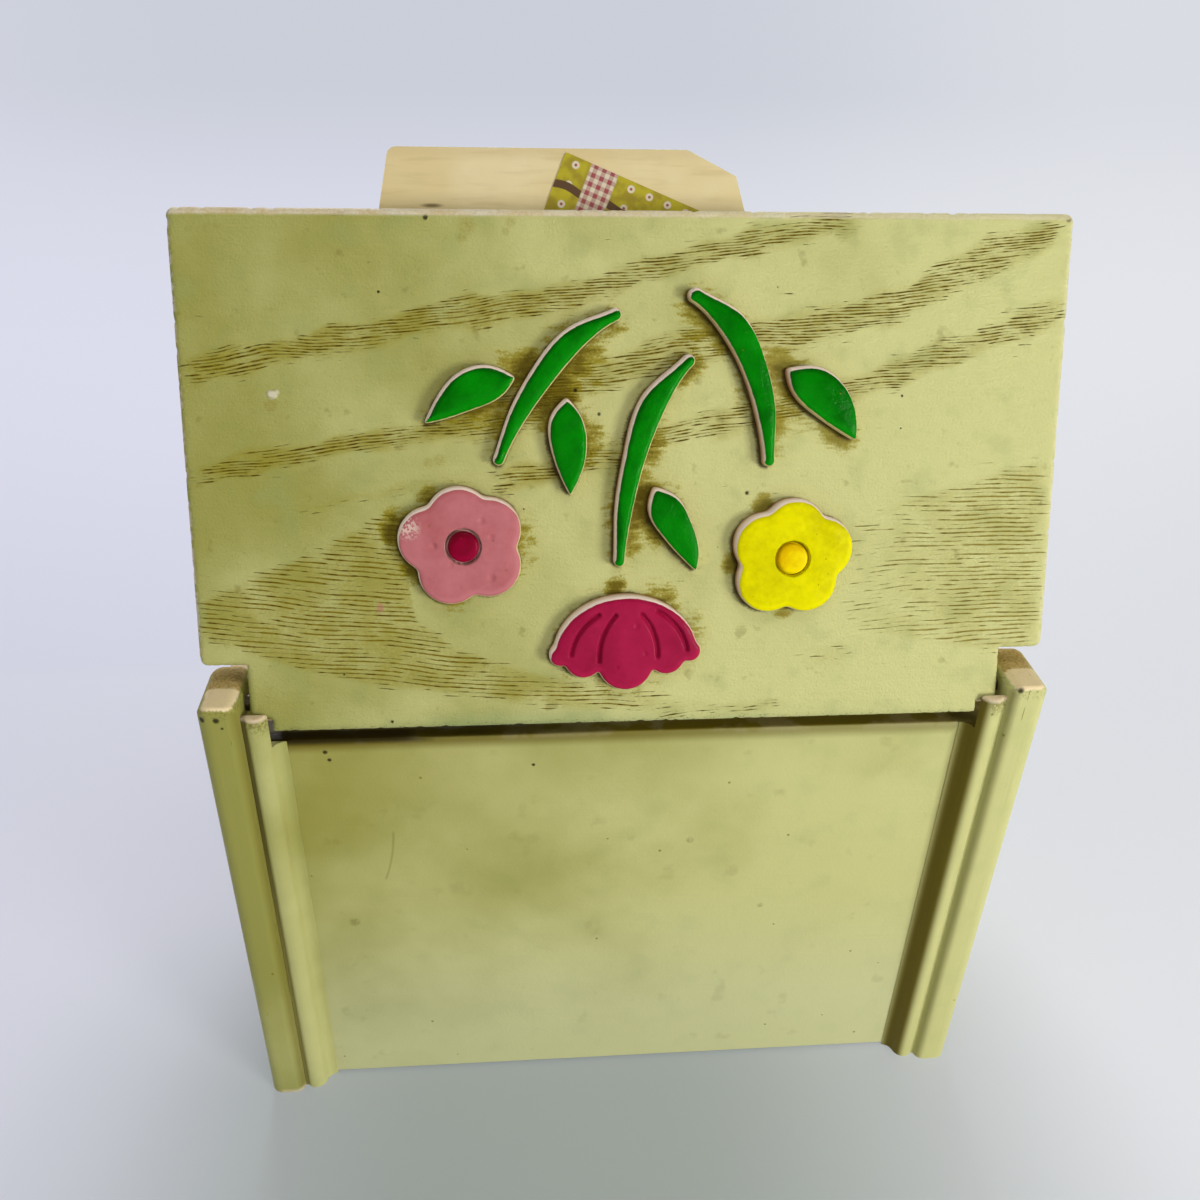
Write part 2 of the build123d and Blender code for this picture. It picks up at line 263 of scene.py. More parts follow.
def floorFinish(look):
    finish = Finish("paleFloor")
    point = finish.plan() * (mm, mm, mm)
    across, depth, _ = finish.parts(point)
    cloud = finish.noise(point, 0.35, detail=1.0)
    aside = across / (depth + 0.35).atLeast(0.1)
    soft = look["seamSoftness"]
    front = finish.blend(across.between(0.02, 0.2), look["near"], look["nearRight"])
    finish.colour = finish.blend(depth.between(-0.22, 0.0), front, look["far"])
    finish.coat(depth.between(look["seam"] - soft, look["seam"] + soft), look["wall"])
    finish.coat((aside + cloud * 0.3).between(0.0, 0.5), look["glow"])
    faraway = depth.between(0.3, 1.8) * (1 - abs(aside + 0.05).between(0.15, 0.55) * 0.6)
    finish.coat(faraway, look["distance"])
    # painted shadow of the box on the floor in front of it
    shade = depth.between(-0.24, -0.09) * depth.between(0.02, -0.05) * abs(across + 0.015).between(0.14, 0.02)
    finish.coat(shade * 0.8, look["shade"])
    own = finish.node("ShaderNodeEmission", values={"Color": finish.colour})
    matt = finish.node("ShaderNodeBsdfDiffuse", values={"Color": finish.colour})
    rays = finish.node("ShaderNodeLightPath").socket.node.outputs
    kinds = ("Is Camera Ray", "Is Glossy Ray", "Is Transmission Ray")
    seen, glossy, through = (Wire(finish, rays[kind]) for kind in kinds)
    share = (seen + glossy + through).atMost(1.0) * (0.42 + depth.between(-0.05, 0.5) * 0.56)
    shader = finish.node("ShaderNodeMixShader", values={0: share, 1: matt, 2: own})
    finish.node("ShaderNodeOutputMaterial", values={"Surface": shader})
    return finish.material


def sweptFloor(look):
    profile = [(-look["reach"], 0.0), (look["back"], 0.0)]
    for step in range(1, 17):
        angle = math.radians(90 * step / 16)
        profile.append((look["back"] + look["rise"] * math.sin(angle), look["rise"] * (1 - math.cos(angle))))
    profile.append((look["back"] + look["rise"], look["reach"]))
    points, faces = [], []
    for depth, height in profile:
        points += [(-look["reach"], depth, height), (look["reach"], depth, height)]
    for row in range(len(profile) - 1):
        faces.append((2 * row, 2 * row + 1, 2 * row + 3, 2 * row + 2))
    mesh = bpy.data.meshes.new("floor")
    mesh.from_pydata(points, [], faces)
    mesh.polygons.foreach_set("use_smooth", [True] * len(faces))
    floor = bpy.data.objects.new("floor", mesh)
    bpy.context.scene.collection.objects.link(floor)
    return floor


dress(floorFinish(floorLook), sweptFloor(floorLook))
world = bpy.data.worlds.new("room")
world.use_nodes = True
room = world.node_tree.nodes["Background"]
room.inputs["Color"].default_value = (*roomLight["colour"], 1.0)
room.inputs["Strength"].default_value = roomLight["strength"]
bpy.context.scene.world = world
print("floor and lamps set")


# The lid's own plan: x across, y from the hinge side, z up from its outer face, all in mm

lid = {
    "open": 70.0,  # degrees, at rest
    "pivotFromBack": 7.5,
    "thickness": 8.5,
    "halfWidth": 75.5,
    "tongueHalfWidth": 67.6,
    "relievedHalfWidth": 63.9,
    "tongueBack": 3.0,
    "tongueCorner": 5.27,
    "notchLine": 15.2,
    "front": 91.2,
    "cornerRadius": 1.5,
    "edgeRadius": 1.3,
    "underRadius": 0.8,
    "spacing": 0.62,  # of the points over its face
    "chip": 0.28,  # how deep the edge is chipped
}
hinge = Vector(next(joint["pos_m"] for joint in frame["joints"] if joint["name"] == "lid_hinge"))
lidTurn = math.radians(lid["open"])
backCorner = Vector((0, -lid["pivotFromBack"], lid["thickness"] / 2)) * mm
planOrigin = hinge + Matrix.Rotation(lidTurn, 3, "X") @ backCorner
planFrame = np.array(Matrix.Translation(planOrigin) @ Matrix.Rotation(lidTurn, 4, "X") @ Matrix.Scale(mm, 4))


def toWorld(points):
    points = np.asarray(points, float)
    return points @ planFrame[:3, :3].T + planFrame[:3, 3]


def smoothLine(points, ends=None, step=0.3):
    # an even curve through the points; ends are its directions at both ends, if they are given
    points = np.asarray(points, float)
    count = len(points)
    spans = np.hypot(*np.diff(points, axis=0).T)
    matrix, right = np.zeros((count, count)), np.zeros((count, 2))
    for i in range(1, count - 1):
        before, after = spans[i - 1], spans[i]
        matrix[i, i - 1 : i + 2] = 1 / before, 2 / before + 2 / after, 1 / after
        right[i] = 3 * (points[i] - points[i - 1]) / before**2 + 3 * (points[i + 1] - points[i]) / after**2
    if ends is None:
        matrix[0, :2], matrix[-1, -2:] = (2, 1), (1, 2)
        right[0] = 3 * (points[1] - points[0]) / spans[0]
        right[-1] = 3 * (points[-1] - points[-2]) / spans[-1]
    else:
        matrix[0, 0] = matrix[-1, -1] = 1
        right[0], right[-1] = ends
    slopes = np.linalg.solve(matrix, right)
    curve = []
    for i in range(count - 1):
        t = np.linspace(0, 1, max(3, int(spans[i] / step)), endpoint=False)[:, None]
        curve.append(
            (2 * t**3 - 3 * t**2 + 1) * points[i]
            + (t**3 - 2 * t**2 + t) * spans[i] * slopes[i]
            + (3 * t**2 - 2 * t**3) * points[i + 1]
            + (t**3 - t**2) * spans[i] * slopes[i + 1]
        )
    return np.vstack([*curve, points[-1:]]), slopes


def arcThrough(start, middle, end, count=9):
    (ax, ay), (bx, by), (cx, cy) = start, middle, end
    d = 2 * (ax * (by - cy) + bx * (cy - ay) + cx * (ay - by))
    ox = ((ax**2 + ay**2) * (by - cy) + (bx**2 + by**2) * (cy - ay) + (cx**2 + cy**2) * (ay - by)) / d
    oy = ((ax**2 + ay**2) * (cx - bx) + (bx**2 + by**2) * (ax - cx) + (cx**2 + cy**2) * (bx - ax)) / d
    angles = np.unwrap([math.atan2(y - oy, x - ox) for x, y in (start, middle, end)])
    turn = np.r_[np.linspace(*angles[:2], count), np.linspace(*angles[1:], count)[1:]]
    radius = math.hypot(ax - ox, ay - oy)
    return np.c_[ox + radius * np.cos(turn), oy + radius * np.sin(turn)]


def evenLoop(points, step):
    # a closed line's points an even step apart, anticlockwise
    points = np.asarray(points, float)
    x, y = points.T
    if np.sum(x * np.roll(y, -1) - np.roll(x, -1) * y) < 0:
        points = points[::-1]
    closed = np.vstack([points, points[:1]])
    run = np.concatenate([[0], np.cumsum(np.hypot(*np.diff(closed, axis=0).T))])
    marks = np.linspace(0, run[-1], max(12, int(run[-1] / step)), endpoint=False)
    return np.c_[np.interp(marks, run, closed[:, 0]), np.interp(marks, run, closed[:, 1])]


def softened(loop, passes):
    # a closed line with its sharp turns worn round
    for _ in range(passes):
        loop = (np.roll(loop, 1, axis=0) + loop * 2 + np.roll(loop, -1, axis=0)) / 4
    return loop


def shortest(gaps):
    # the shortest of each point's steps, as its length and the step itself
    square = (gaps**2).sum(2)
    rows, nearest = np.arange(len(gaps)), square.argmin(1)
    return np.sqrt(square[rows, nearest]), gaps[rows, nearest]


def awayFrom(points, loop, reach=8.0):
    # how far each point is from a closed line, and the direction to the nearest place on it
    start, end = loop, np.roll(loop, -1, axis=0)
    along = end - start
    length = np.maximum((along**2).sum(1), 1e-12)
    away, toward = np.zeros(len(points)), np.zeros((len(points), 2))
    some = loop[:: max(1, len(loop) // 120)]
    for first in range(0, len(points), 4000):
        part = slice(first, first + 4000)
        away[part], toward[part] = shortest(some - points[part, None, :])
    close = np.flatnonzero(away < reach)
    for first in range(0, len(close), 1000):
        part = close[first : first + 1000]
        here = points[part, None, :]
        share = np.clip(((here - start) * along).sum(2) / length, 0, 1)
        away[part], toward[part] = shortest(start + share[..., None] * along - here)
    return away, toward / np.maximum(away, 1e-9)[:, None]


def isInside(points, loop):
    x1, y1 = loop[:, 0], loop[:, 1]
    x2, y2 = np.roll(x1, -1), np.roll(y1, -1)
    rise = np.where(y2 == y1, 1e-12, y2 - y1)
    inside = np.zeros(len(points), bool)
    for first in range(0, len(points), 2000):
        x, y = points[first : first + 2000, :1], points[first : first + 2000, 1:2]
        crosses = ((y1 > y) != (y2 > y)) & (x < (x2 - x1) * (y - y1) / rise + x1)
        inside[first : first + 2000] = crosses.sum(1) % 2 == 1
    return inside


def inward(loop):
    # the direction into a closed line at each of its points
    normal = np.roll(loop, -1, axis=0) - np.roll(loop, 1, axis=0)
    return np.c_[-normal[:, 1], normal[:, 0]] / np.hypot(*normal.T)[:, None]


def ripple(points, size, seed):
    # soft random swell between -1 and 1
    rng = np.random.default_rng(seed)
    total = np.zeros(len(points))
    for _ in range(7):
        angle, phase = rng.uniform(0, 2 * math.pi, 2)
        wave = rng.uniform(0.7, 1.5) * 2 * math.pi / size
        total += np.sin((points[:, 0] * math.cos(angle) + points[:, 1] * math.sin(angle)) * wave + phase)
    return np.clip(total / 3.2, -1, 1)


def shoulder(gap, radius):
    # how far a rounded edge lies under the top, by the distance from the outline
    short = np.clip(radius - gap, 0, radius)
    return radius - np.sqrt(np.maximum(radius**2 - short**2, 0))


edgeRings = (0.12, 0.3, 0.55, 0.85, 1.2)  # rows of points along a rounded edge, mm in from the outline
wideSide = np.array((-0.45, 0.89))  # the bare rims of the carving are widest towards this side


def cutBoard(name, loop, spacing, top, base, inner=(), rings=edgeRings, notes=None, under=0.0, wallRows=5):
    # a piece cut from board: top(points, gap) gives the height of its upper face, base is its lower face
    count = len(loop)
    normal = inward(loop)
    seeds = [loop]
    for ring in rings:
        shifted = loop + normal * ring
        gap, _ = awayFrom(shifted, loop)
        seeds.append(shifted[(gap > ring * 0.93) & isInside(shifted, loop)])
    low, high = loop.min(0), loop.max(0)
    xs, ys = np.arange(low[0], high[0], spacing), np.arange(low[1], high[1], spacing * 0.866)
    grid = np.array([(x + (row % 2) * spacing / 2, y) for row, y in enumerate(ys) for x in xs])
    grid = grid[isInside(grid, loop)]
    gap, _ = awayFrom(grid, loop)
    grid = grid[gap > rings[-1] + spacing * 0.45]
    for extra in inner:  # a ring of points where a seat or groove needs one
        gap, _ = awayFrom(grid, extra, reach=1.5)
        grid = grid[gap > spacing * 0.4]
        seeds.append(extra)
    seeds.append(grid)
    flat = np.vstack(seeds)
    found = delaunay_2d_cdt([Vector(p) for p in flat], [], [list(range(count))], 1, 1e-7)
    points = np.array([tuple(p) for p in found[0]])
    place = {}
    for index, sources in enumerate(found[3]):
        for source in sources:
            place[source] = index
    rim = [place[i] for i in range(count)]
    gap, toward = awayFrom(points, loop)
    gap[rim] = 0.0
    outward = np.zeros((len(points), 2))
    outward[:] = toward
    outward[rim] = -normal
    height = top(points, gap)
    upper = np.c_[points, height]
    verts, faces = [upper], [tuple(face) for face in found[2]]
    marks = [np.c_[gap, outward, height]]
    total, previous, rimTop = len(upper), rim, height[rim]

    def addRow(outline, level):
        # one more row of points down the wall, joined to the row above it
        nonlocal total, previous
        verts.append(np.c_[outline, level])
        marks.append(np.c_[np.zeros(count), -normal, level])
        now = list(range(total, total + count))
        corners = zip(previous, now, now[1:] + now[:1], previous[1:] + previous[:1])
        faces.extend(corners)
        total, previous = total + count, now

    for row in range(1, wallRows + 1):
        share = row / wallRows
        addRow(loop, rimTop * (1 - share) + (base + under) * share)
    for turn in (30, 60, 90) if under else ():  # a rounded lower edge
        inset = under * (1 - math.cos(math.radians(turn)))
        addRow(loop + normal * inset, np.full(count, base + under * (1 - math.sin(math.radians(turn)))))
    faces.append(tuple(reversed(previous)))
    verts, marks = np.vstack(verts), np.vstack(marks)
    mesh = bpy.data.meshes.new(name)
    mesh.from_pydata(toWorld(verts).tolist(), [], faces)
    mesh.polygons.foreach_set("use_smooth", [True] * (len(faces) - 1) + [False])
    fields = {"gap": marks[:, 0], "lean": marks[:, 1:3] @ wideSide, "rise": marks[:, 3]}
    if notes:
        fields.update(notes(verts[:, :2]))
    for key, values in fields.items():
        layer = mesh.attributes.new(key, "FLOAT", "POINT")
        layer.data.foreach_set("value", np.asarray(values, np.float32))
    piece = bpy.data.objects.new(name, mesh)
    bpy.context.scene.collection.objects.link(piece)
    return piece


# Carved ornament, standing on the lid. The same places as its solids.

stems = {  # places along the middle of each stem, with its width there
    "leftStem": (
        (-3.4, 74.3, 2.2), (-9.8, 70.8, 4.0), (-15.6, 64.4, 4.1), (-20.3, 57.0, 3.0), (-23.1, 50.6, 2.0),
    ),
    "middleStem": (
        (9.0, 66.8, 2.2), (3.4, 60.3, 4.5), (0.0, 51.1, 3.9), (-1.9, 42.0, 3.1), (-2.7, 33.0, 2.0),
    ),
    "rightStem": (
        (10.0, 77.5, 2.4), (15.9, 73.2, 4.5), (20.0, 66.3, 4.3), (22.4, 58.0, 3.4), (23.1, 50.0, 2.0),
    ),
}
leaves = {  # two tips, then how far each side bulges at a fifth, a half and four fifths of the way
    "outerLeftLeaf": ((-35.5, 56.6), (-19.9, 64.2), (2.6, 4.9, 4.0), (-0.9, -1.6, -1.7)),
    "innerLeftLeaf": ((-11.6, 61.0), (-11.1, 44.2), (2.4, 3.2, 1.9), (-2.9, -3.0, -1.5)),
    "innerRightLeaf": ((3.2, 45.8), (10.8, 30.8), (2.8, 3.1, 2.2), (-2.7, -2.5, -1.2)),
    "outerRightLeaf": ((25.7, 65.5), (38.3, 53.1), (4.0, 5.1, 3.2), (-1.9, -1.9, -0.9)),
}
roundFlowers = {  # centre, petals as direction and reach, then small dents as x, y, radius, depth
    "pinkFlower": {
        "centre": (-29.4, 36.0),
        "petals": ((99, 10.3), (167, 11.3), (243, 10.6), (322, 10.9), (33, 10.7)),
        "dents": (
            (-34.4, 36.2, 0.5, 0.4), (-26.2, 40.4, 0.45, 0.35), (-24.6, 37.6, 0.4, 0.35),
            (-24.8, 30.6, 0.6, 0.45), (-31.6, 33.0, 0.3, 0.3), (-26.0, 43.2, 0.25, 0.25),
            (-30.2, 29.0, 0.3, 0.25),
        ),
    },
    "yellowFlower": {
        "centre": (27.6, 33.0),
        "petals": ((86, 10.5), (152, 10.8), (224, 11.2), (303, 10.3), (18, 11.1)),
        "dents": ((29.6, 38.4, 0.25, 0.15), (24.2, 28.4, 0.3, 0.15), (32.2, 29.2, 0.3, 0.15)),
    },
}
halfFlower = {
    "centre": (-1.6, 16.2),
    "dome": (12.8, 10.8),
    "lobes": ((-11.5, 0.2, 2.0), (-7.4, -0.6, 3.4), (0.0, -1.3, 5.0), (7.2, -0.2, 3.4), (11.4, 0.6, 2.0)),
    "grooves": (
        ((-4.7, 7.4), (-8.0, 4.4), (-9.6, 0.4)),
        ((-1.8, 7.3), (-4.0, 3.6), (-4.7, -0.9)),
        ((2.8, 7.4), (4.9, 4.0), (5.6, -0.2)),
        ((5.6, 7.8), (9.0, 5.0), (10.8, 0.9)),
    ),
    "dents": ((0.3, 21.6, 0.45, 0.16), (1.8, 16.6, 0.4, 0.15), (-3.2, 14.2, 0.3, 0.1)),
}
relief = {
    "height": 3.0,
    "shoulder": 0.75,
    "crown": 0.28,
    "crownReach": 2.0,
    "uneven": 0.05,
    "paintEdge": 0.16,  # how far in from the outline the paint starts
    "paintLean": 0.4,  # and how much farther on the sides facing up and left
    "paintFade": 0.16,
    "paintBuild": 0.06,
    "petalRadius": 5.6,
    "buttonRadius": 2.64,
    "buttonHeight": 1.28,
    "buttonShoulder": 0.5,
    "seatRadius": 3.12,
    "seatDepth": 1.0,
    "grooveHalfWidth": 0.46,
    "grooveDepth": 0.8,
}
seatFloor = relief["height"] - relief["seatDepth"]


def stemLoop(stations):
    stations = np.asarray(stations, float)
    middle, slopes = smoothLine(stations[:, :2])
    ways = slopes / np.hypot(*slopes.T)[:, None]
    across = np.c_[-ways[:, 1], ways[:, 0]] * stations[:, 2:] / 2
    left, _ = smoothLine(stations[:, :2] + across, (ways[0], ways[-1]))
    right, _ = smoothLine(stations[:, :2] - across, (ways[0], ways[-1]))
    firstTip = stations[0, :2] - ways[0] * stations[0, 2] / 2
    lastTip = stations[-1, :2] + ways[-1] * stations[-1, 2] / 2
    firstEnd = arcThrough(right[0], firstTip, left[0])
    lastEnd = arcThrough(left[-1], lastTip, right[-1])
    return np.vstack([part[:-1] for part in (left, lastEnd, right[::-1], firstEnd)])


def leafLoop(tip, tail, leftBulges, rightBulges):
    start, end = np.array(tip), np.array(tail)
    along = end - start
    across = np.array((-along[1], along[0])) / np.hypot(*along)
    sides = []
    for bulges in (leftBulges, rightBulges):
        between = [start + along * share + across * out for share, out in zip((0.2, 0.5, 0.8), bulges)]
        sides.append(smoothLine([start, *between, end])[0])
    return np.vstack([sides[0][:-1], sides[1][::-1][:-1]])


def reachOfCircle(ways, centre, radius):
    # how far a ray from the middle goes before it leaves a circle
    near = ways @ np.asarray(centre)
    aside = np.abs(ways[:, 0] * centre[1] - ways[:, 1] * centre[0])
    return np.where(aside < radius, near + np.sqrt(np.maximum(radius**2 - aside**2, 0)), 0)


def raysOut(count=1440):
    angles = np.linspace(0, 2 * math.pi, count, endpoint=False)
    return np.c_[np.cos(angles), np.sin(angles)]


def flowerLoop(centre, petals, radius):
    ways = raysOut()
    reach = reachOfCircle(ways, (0, 0), radius)
    for direction, far in petals:
        angle = math.radians(direction)
        middle = ((far - radius) * math.cos(angle), (far - radius) * math.sin(angle))
        reach = np.maximum(reach, reachOfCircle(ways, middle, radius))
    return ways * reach[:, None] + centre


def halfFlowerLoop(look):
    ways = raysOut()
    eye = np.array((0.0, 2.0))  # where the rays start, inside the dome
    wide, tall = look["dome"]
    a = (ways[:, 0] / wide) ** 2 + (ways[:, 1] / tall) ** 2
    b = eye[1] * ways[:, 1] / tall**2
    c = (eye[1] / tall) ** 2 - 1
    reach = (-b + np.sqrt(b**2 - a * c)) / a
    reach = np.where(eye[1] + reach * ways[:, 1] > 0, reach, eye[1] / np.maximum(-ways[:, 1], 1e-9))
    for x, y, radius in look["lobes"]:
        reach = np.maximum(reach, reachOfCircle(ways, (x, y - eye[1]), radius))
    return ways * reach[:, None] + eye + look["centre"]


def circleLoop(centre, radius, step=0.25):
    count = int(2 * math.pi * radius / step)
    angles = np.linspace(0, 2 * math.pi, count, endpoint=False)
    return np.c_[centre[0] + radius * np.cos(angles), centre[1] + radius * np.sin(angles)]


def hollow(points, dents):
    depth = np.zeros(len(points))
    for x, y, radius, deep in dents:
        depth += deep * np.exp(-((np.hypot(points[:, 0] - x, points[:, 1] - y) / radius) ** 4))
    return depth


def carvedTop(loop, seed, dents=(), seat=None, grooves=()):
    # the upper face: rounded shoulder, soft crown, paint standing a little proud of the bare rim
    def top(points, gap):
        _, toward = awayFrom(points, loop)
        lean = np.maximum(toward @ wideSide, 0)
        edge = relief["paintEdge"] + relief["paintLean"] * lean + relief["uneven"] * ripple(points, 3.4, seed)
        painted = np.clip((gap - edge) / relief["paintFade"], 0, 1)
        crown = relief["crown"] * (1 - np.exp(-((gap / relief["crownReach"]) ** 2)))
        height = relief["height"] - relief["crown"] - relief["paintBuild"]
        height = height - shoulder(gap, relief["shoulder"]) + relief["paintBuild"] * painted
        height = height + crown + relief["uneven"] * ripple(points, 5.0, seed + 1) * painted
        height = height - hollow(points, dents)
        if seat is not None:
            inside = np.hypot(points[:, 0] - seat[0], points[:, 1] - seat[1])
            height = np.where(inside < relief["seatRadius"], seatFloor, height)
        for groove in grooves:
            line = arcThrough(*groove, count=14)
            nearest = awayFrom(points, np.vstack([line, line[::-1]]))[0]
            aside = np.clip(nearest / relief["grooveHalfWidth"], 0, 1)
            height = height - relief["grooveDepth"] * (1 - aside**2)
        return height

    return top


ornament = {}
loops = {}


def carve(name, loop, seed, spacing, inner=(), **details):
    loops[name] = loop
    ornament[name] = cutBoard(name, loop, spacing, carvedTop(loop, seed, **details), 0.0, inner)


for index, (name, stations) in enumerate(stems.items()):
    carve(name, evenLoop(stemLoop(stations), 0.28), 10 + index, 0.34)
for index, (name, shape) in enumerate(leaves.items()):
    carve(name, softened(evenLoop(leafLoop(*shape), 0.26), 9), 30 + index, 0.34)
for index, (name, look) in enumerate(roundFlowers.items()):
    centre = look["centre"]
    outline = evenLoop(flowerLoop(centre, look["petals"], relief["petalRadius"]), 0.28)
    seatRings = [circleLoop(centre, relief["seatRadius"] + out) for out in (-0.03, 0.03, 0.2)]
    carve(name, softened(outline, 9), 50 + index, 0.36, seatRings, dents=look["dents"], seat=centre)
middle = np.array(halfFlower["centre"])
grooves = [[tuple(middle + place) for place in groove] for groove in halfFlower["grooves"]]
outline = evenLoop(halfFlowerLoop(halfFlower), 0.26)
carve("halfFlower", softened(outline, 5), 70, 0.22, dents=halfFlower["dents"], grooves=grooves)
print("ornament carved:", len(ornament), "pieces")


def buttonTop(points, gap):
    crown = 0.14 * (1 - np.exp(-((gap / 1.2) ** 2)))
    return seatFloor + relief["buttonHeight"] - shoulder(gap, relief["buttonShoulder"]) + crown


for name, look in roundFlowers.items():
    button = name + "Button"
    loop = circleLoop(look["centre"], relief["buttonRadius"])
    ornament[button] = cutBoard(button, loop, 0.3, buttonTop, seatFloor, rings=(0.1, 0.25, 0.45), wallRows=3)


# Lid board

grain = {  # bands of open pores: places along each band, half its width, how dense it is
    "bands": (
        ((
            (-77, 64.4), (-71.9, 65.4), (-65.7, 67.0), (-53.1, 69.5), (-40.5, 71.9), (-32.1, 74.3),
            (-19.6, 75.6), (-9.0, 77.6), (-3.1, 79.8), (5.5, 82.6), (14.2, 84.7), (22.7, 86.8),
            (31.2, 88.8), (40.0, 90.6),
        ), 2.1, 1.0),
        ((
            (-26.0, 58.6), (-9.5, 63.0), (-4.1, 65.0), (7.8, 68.3), (21.8, 70.7), (30.9, 72.7),
            (40.7, 74.7), (48.3, 77.4), (54.5, 81.3), (60.6, 83.9), (66.8, 86.4), (76.0, 89.4),
        ), 2.6, 1.0),
        ((
            (-77, 47.2), (-62.5, 50.8), (-49.8, 52.7), (-41.2, 54.4), (-32.7, 55.4), (-19.4, 56.4),
            (-10.0, 58.5),
        ), 1.7, 0.9),
        ((
            (-26.0, 45.8), (-21.3, 47.0), (-12.7, 48.9), (-3.1, 51.1), (3.6, 54.1), (11.4, 55.5),
            (20.4, 57.7), (28.7, 59.8), (35.7, 61.5), (42.6, 63.5), (52.2, 67.2), (61.5, 70.5),
            (68.7, 73.2), (77.0, 76.4),
        ), 2.1, 0.92),
        (((-60.0, 41.5), (-44.0, 44.5), (-30.0, 47.5)), 1.0, 0.45),
        (((0.0, 5.2), (14.0, 5.0), (30.0, 6.4)), 1.2, 0.55),
        (((28.0, 13.5), (34.0, 15.0), (42.0, 15.6)), 2.2, 0.5),
    ),
    "bandPores": (0.5, 0.19),  # between the lines of pores, and how often a line breaks
    "fieldPores": (0.8, 0.17),
    "fields": (  # x, lower y, upper y, density
        (
            (-77, 21.0, 25.0, 0.55), (-73.0, 19.0, 28.0, 0.85), (-64.1, 15.8, 31.8, 0.95),
            (-53.8, 12.6, 35.6, 0.95), (-46.9, 11.2, 39.8, 0.95), (-41.0, 10.0, 42.4, 1.0),
            (-38.0, 9.8, 23.5, 0.9), (-31.5, 8.8, 18.0, 0.9), (-20.2, 6.8, 14.0, 0.9),
            (-10.0, 5.4, 11.4, 0.95), (0.0, 4.8, 9.4, 0.85), (9.0, 4.6, 8.4, 0.6),
        ),
        (
            (33.0, 24.0, 36.0, 0.12), (40.0, 19.0, 40.5, 0.5), (48.0, 17.2, 43.5, 0.72),
            (56.0, 15.8, 45.5, 0.85), (64.0, 14.8, 47.6, 1.0), (71.0, 14.8, 49.4, 1.0),
            (74.5, 15.5, 50.0, 0.6),
        ),
    ),
}


glazeSpots = (  # patches of dark glaze left round the carving: x, y, radius, how strong
    (-18.9, 66.0, 3.0, 1.0), (-25.1, 58.1, 4.0, 0.7), (-12.9, 62.7, 4.0, 1.0), (-8.5, 66.0, 4.5, 0.9),
    (-4.8, 71.6, 3.5, 0.5), (-15.0, 59.7, 3.0, 1.0), (-7.5, 53.7, 3.0, 0.75), (9.5, 65.3, 2.5, 0.75),
    (3.8, 51.9, 3.0, 0.75), (0.4, 41.0, 3.5, 1.0), (1.4, 44.0, 3.0, 1.0), (0.4, 37.0, 3.5, 0.75),
    (2.7, 37.0, 3.0, 0.7), (10.8, 72.9, 4.0, 0.7), (14.9, 70.9, 3.0, 0.7), (18.2, 61.9, 3.0, 0.45),
    (25.4, 66.3, 3.0, 1.0), (25.5, 61.2, 3.5, 0.75), (26.4, 56.1, 4.0, 0.7), (35.3, 54.0, 3.0, 0.85),
    (22.9, 42.3, 1.5, 1.3), (17.6, 31.8, 1.5, 1.3), (26.7, 22.8, 1.2, 1.1), (-3.3, 28.0, 1.5, 1.2),
    (5.4, 26.8, 3.0, 0.65), (11.9, 21.1, 2.5, 0.45), (-41.7, 39.0, 3.0, 0.95), (-38.8, 31.5, 2.0, 0.95),
    (-35.8, 44.1, 2.0, 0.7), (-18.9, 36.6, 3.0, 0.55), (-31.8, 25.4, 2.5, 0.45), (-40.0, 52.0, 6.0, 0.35),
    (38.0, 47.0, 5.0, 0.3), (-2.0, 8.5, 9.0, 0.25),
)


def glazeAt(points):
    total = np.zeros(len(points))
    for x, y, radius, strong in glazeSpots:
        far = np.hypot(points[:, 0] - x, points[:, 1] - y) / radius
        total = np.maximum(total, strong * np.exp(-(far**2) * 0.55))
    return total


def grainBands(points):
    x, y = points[:, 0], points[:, 1]
    total = np.zeros(len(points))
    for places, half, dense in grain["bands"]:
        xs, ys = np.array(places).T
        ends = np.clip(np.minimum(x - xs[0], xs[-1] - x) / 5, 0, 1)
        away = (y - np.interp(x, xs, ys) + 0.7 * ripple(points, 9, 5)) / (half * 1.3)
        total = np.maximum(total, dense * ends * np.exp(-np.abs(away) ** 3.6))
    return total


def grainFields(points):
    x, y = points[:, 0], points[:, 1]
    total = np.zeros(len(points))
    for rows in grain["fields"]:
        xs, lows, highs, dense = np.array(rows).T
        ends = np.clip(np.minimum(x - xs[0], xs[-1] + 3 - x) / 4, 0, 1)
        inside = np.minimum(y - np.interp(x, xs, lows), np.interp(x, xs, highs) - y)
        total = np.maximum(total, np.interp(x, xs, dense) * ends * np.clip(inside / 2.4 + 0.4, 0, 1))
    return total


def cornered(corners, rounded, radius):
    # a closed line with some of its corners rounded
    loop = []
    for i, corner in enumerate(corners):
        here = np.array(corner, float)
        if i not in rounded:
            loop.append(here)
            continue
        before, after = (np.array(corners[k % len(corners)], float) - here for k in (i - 1, i + 1))
        start, end = here + before / np.hypot(*before) * radius, here + after / np.hypot(*after) * radius
        middle = start + end - here
        away = here - middle
        loop += list(arcThrough(start, middle + away / np.hypot(*away) * radius, end, 5))
    return loop


def lidLoop(look):
    right = [
        (look["relievedHalfWidth"], look["tongueBack"]),
        (look["relievedHalfWidth"], look["tongueCorner"]),
        (look["tongueHalfWidth"], look["tongueCorner"]),
        (look["tongueHalfWidth"], look["notchLine"]),
        (look["halfWidth"], look["notchLine"]),
        (look["halfWidth"], look["front"]),
    ]
    left = [(-x, y) for x, y in reversed(right)]
    return evenLoop(cornered(right + left, (4, 5, 6, 7), look["cornerRadius"]), 0.55)


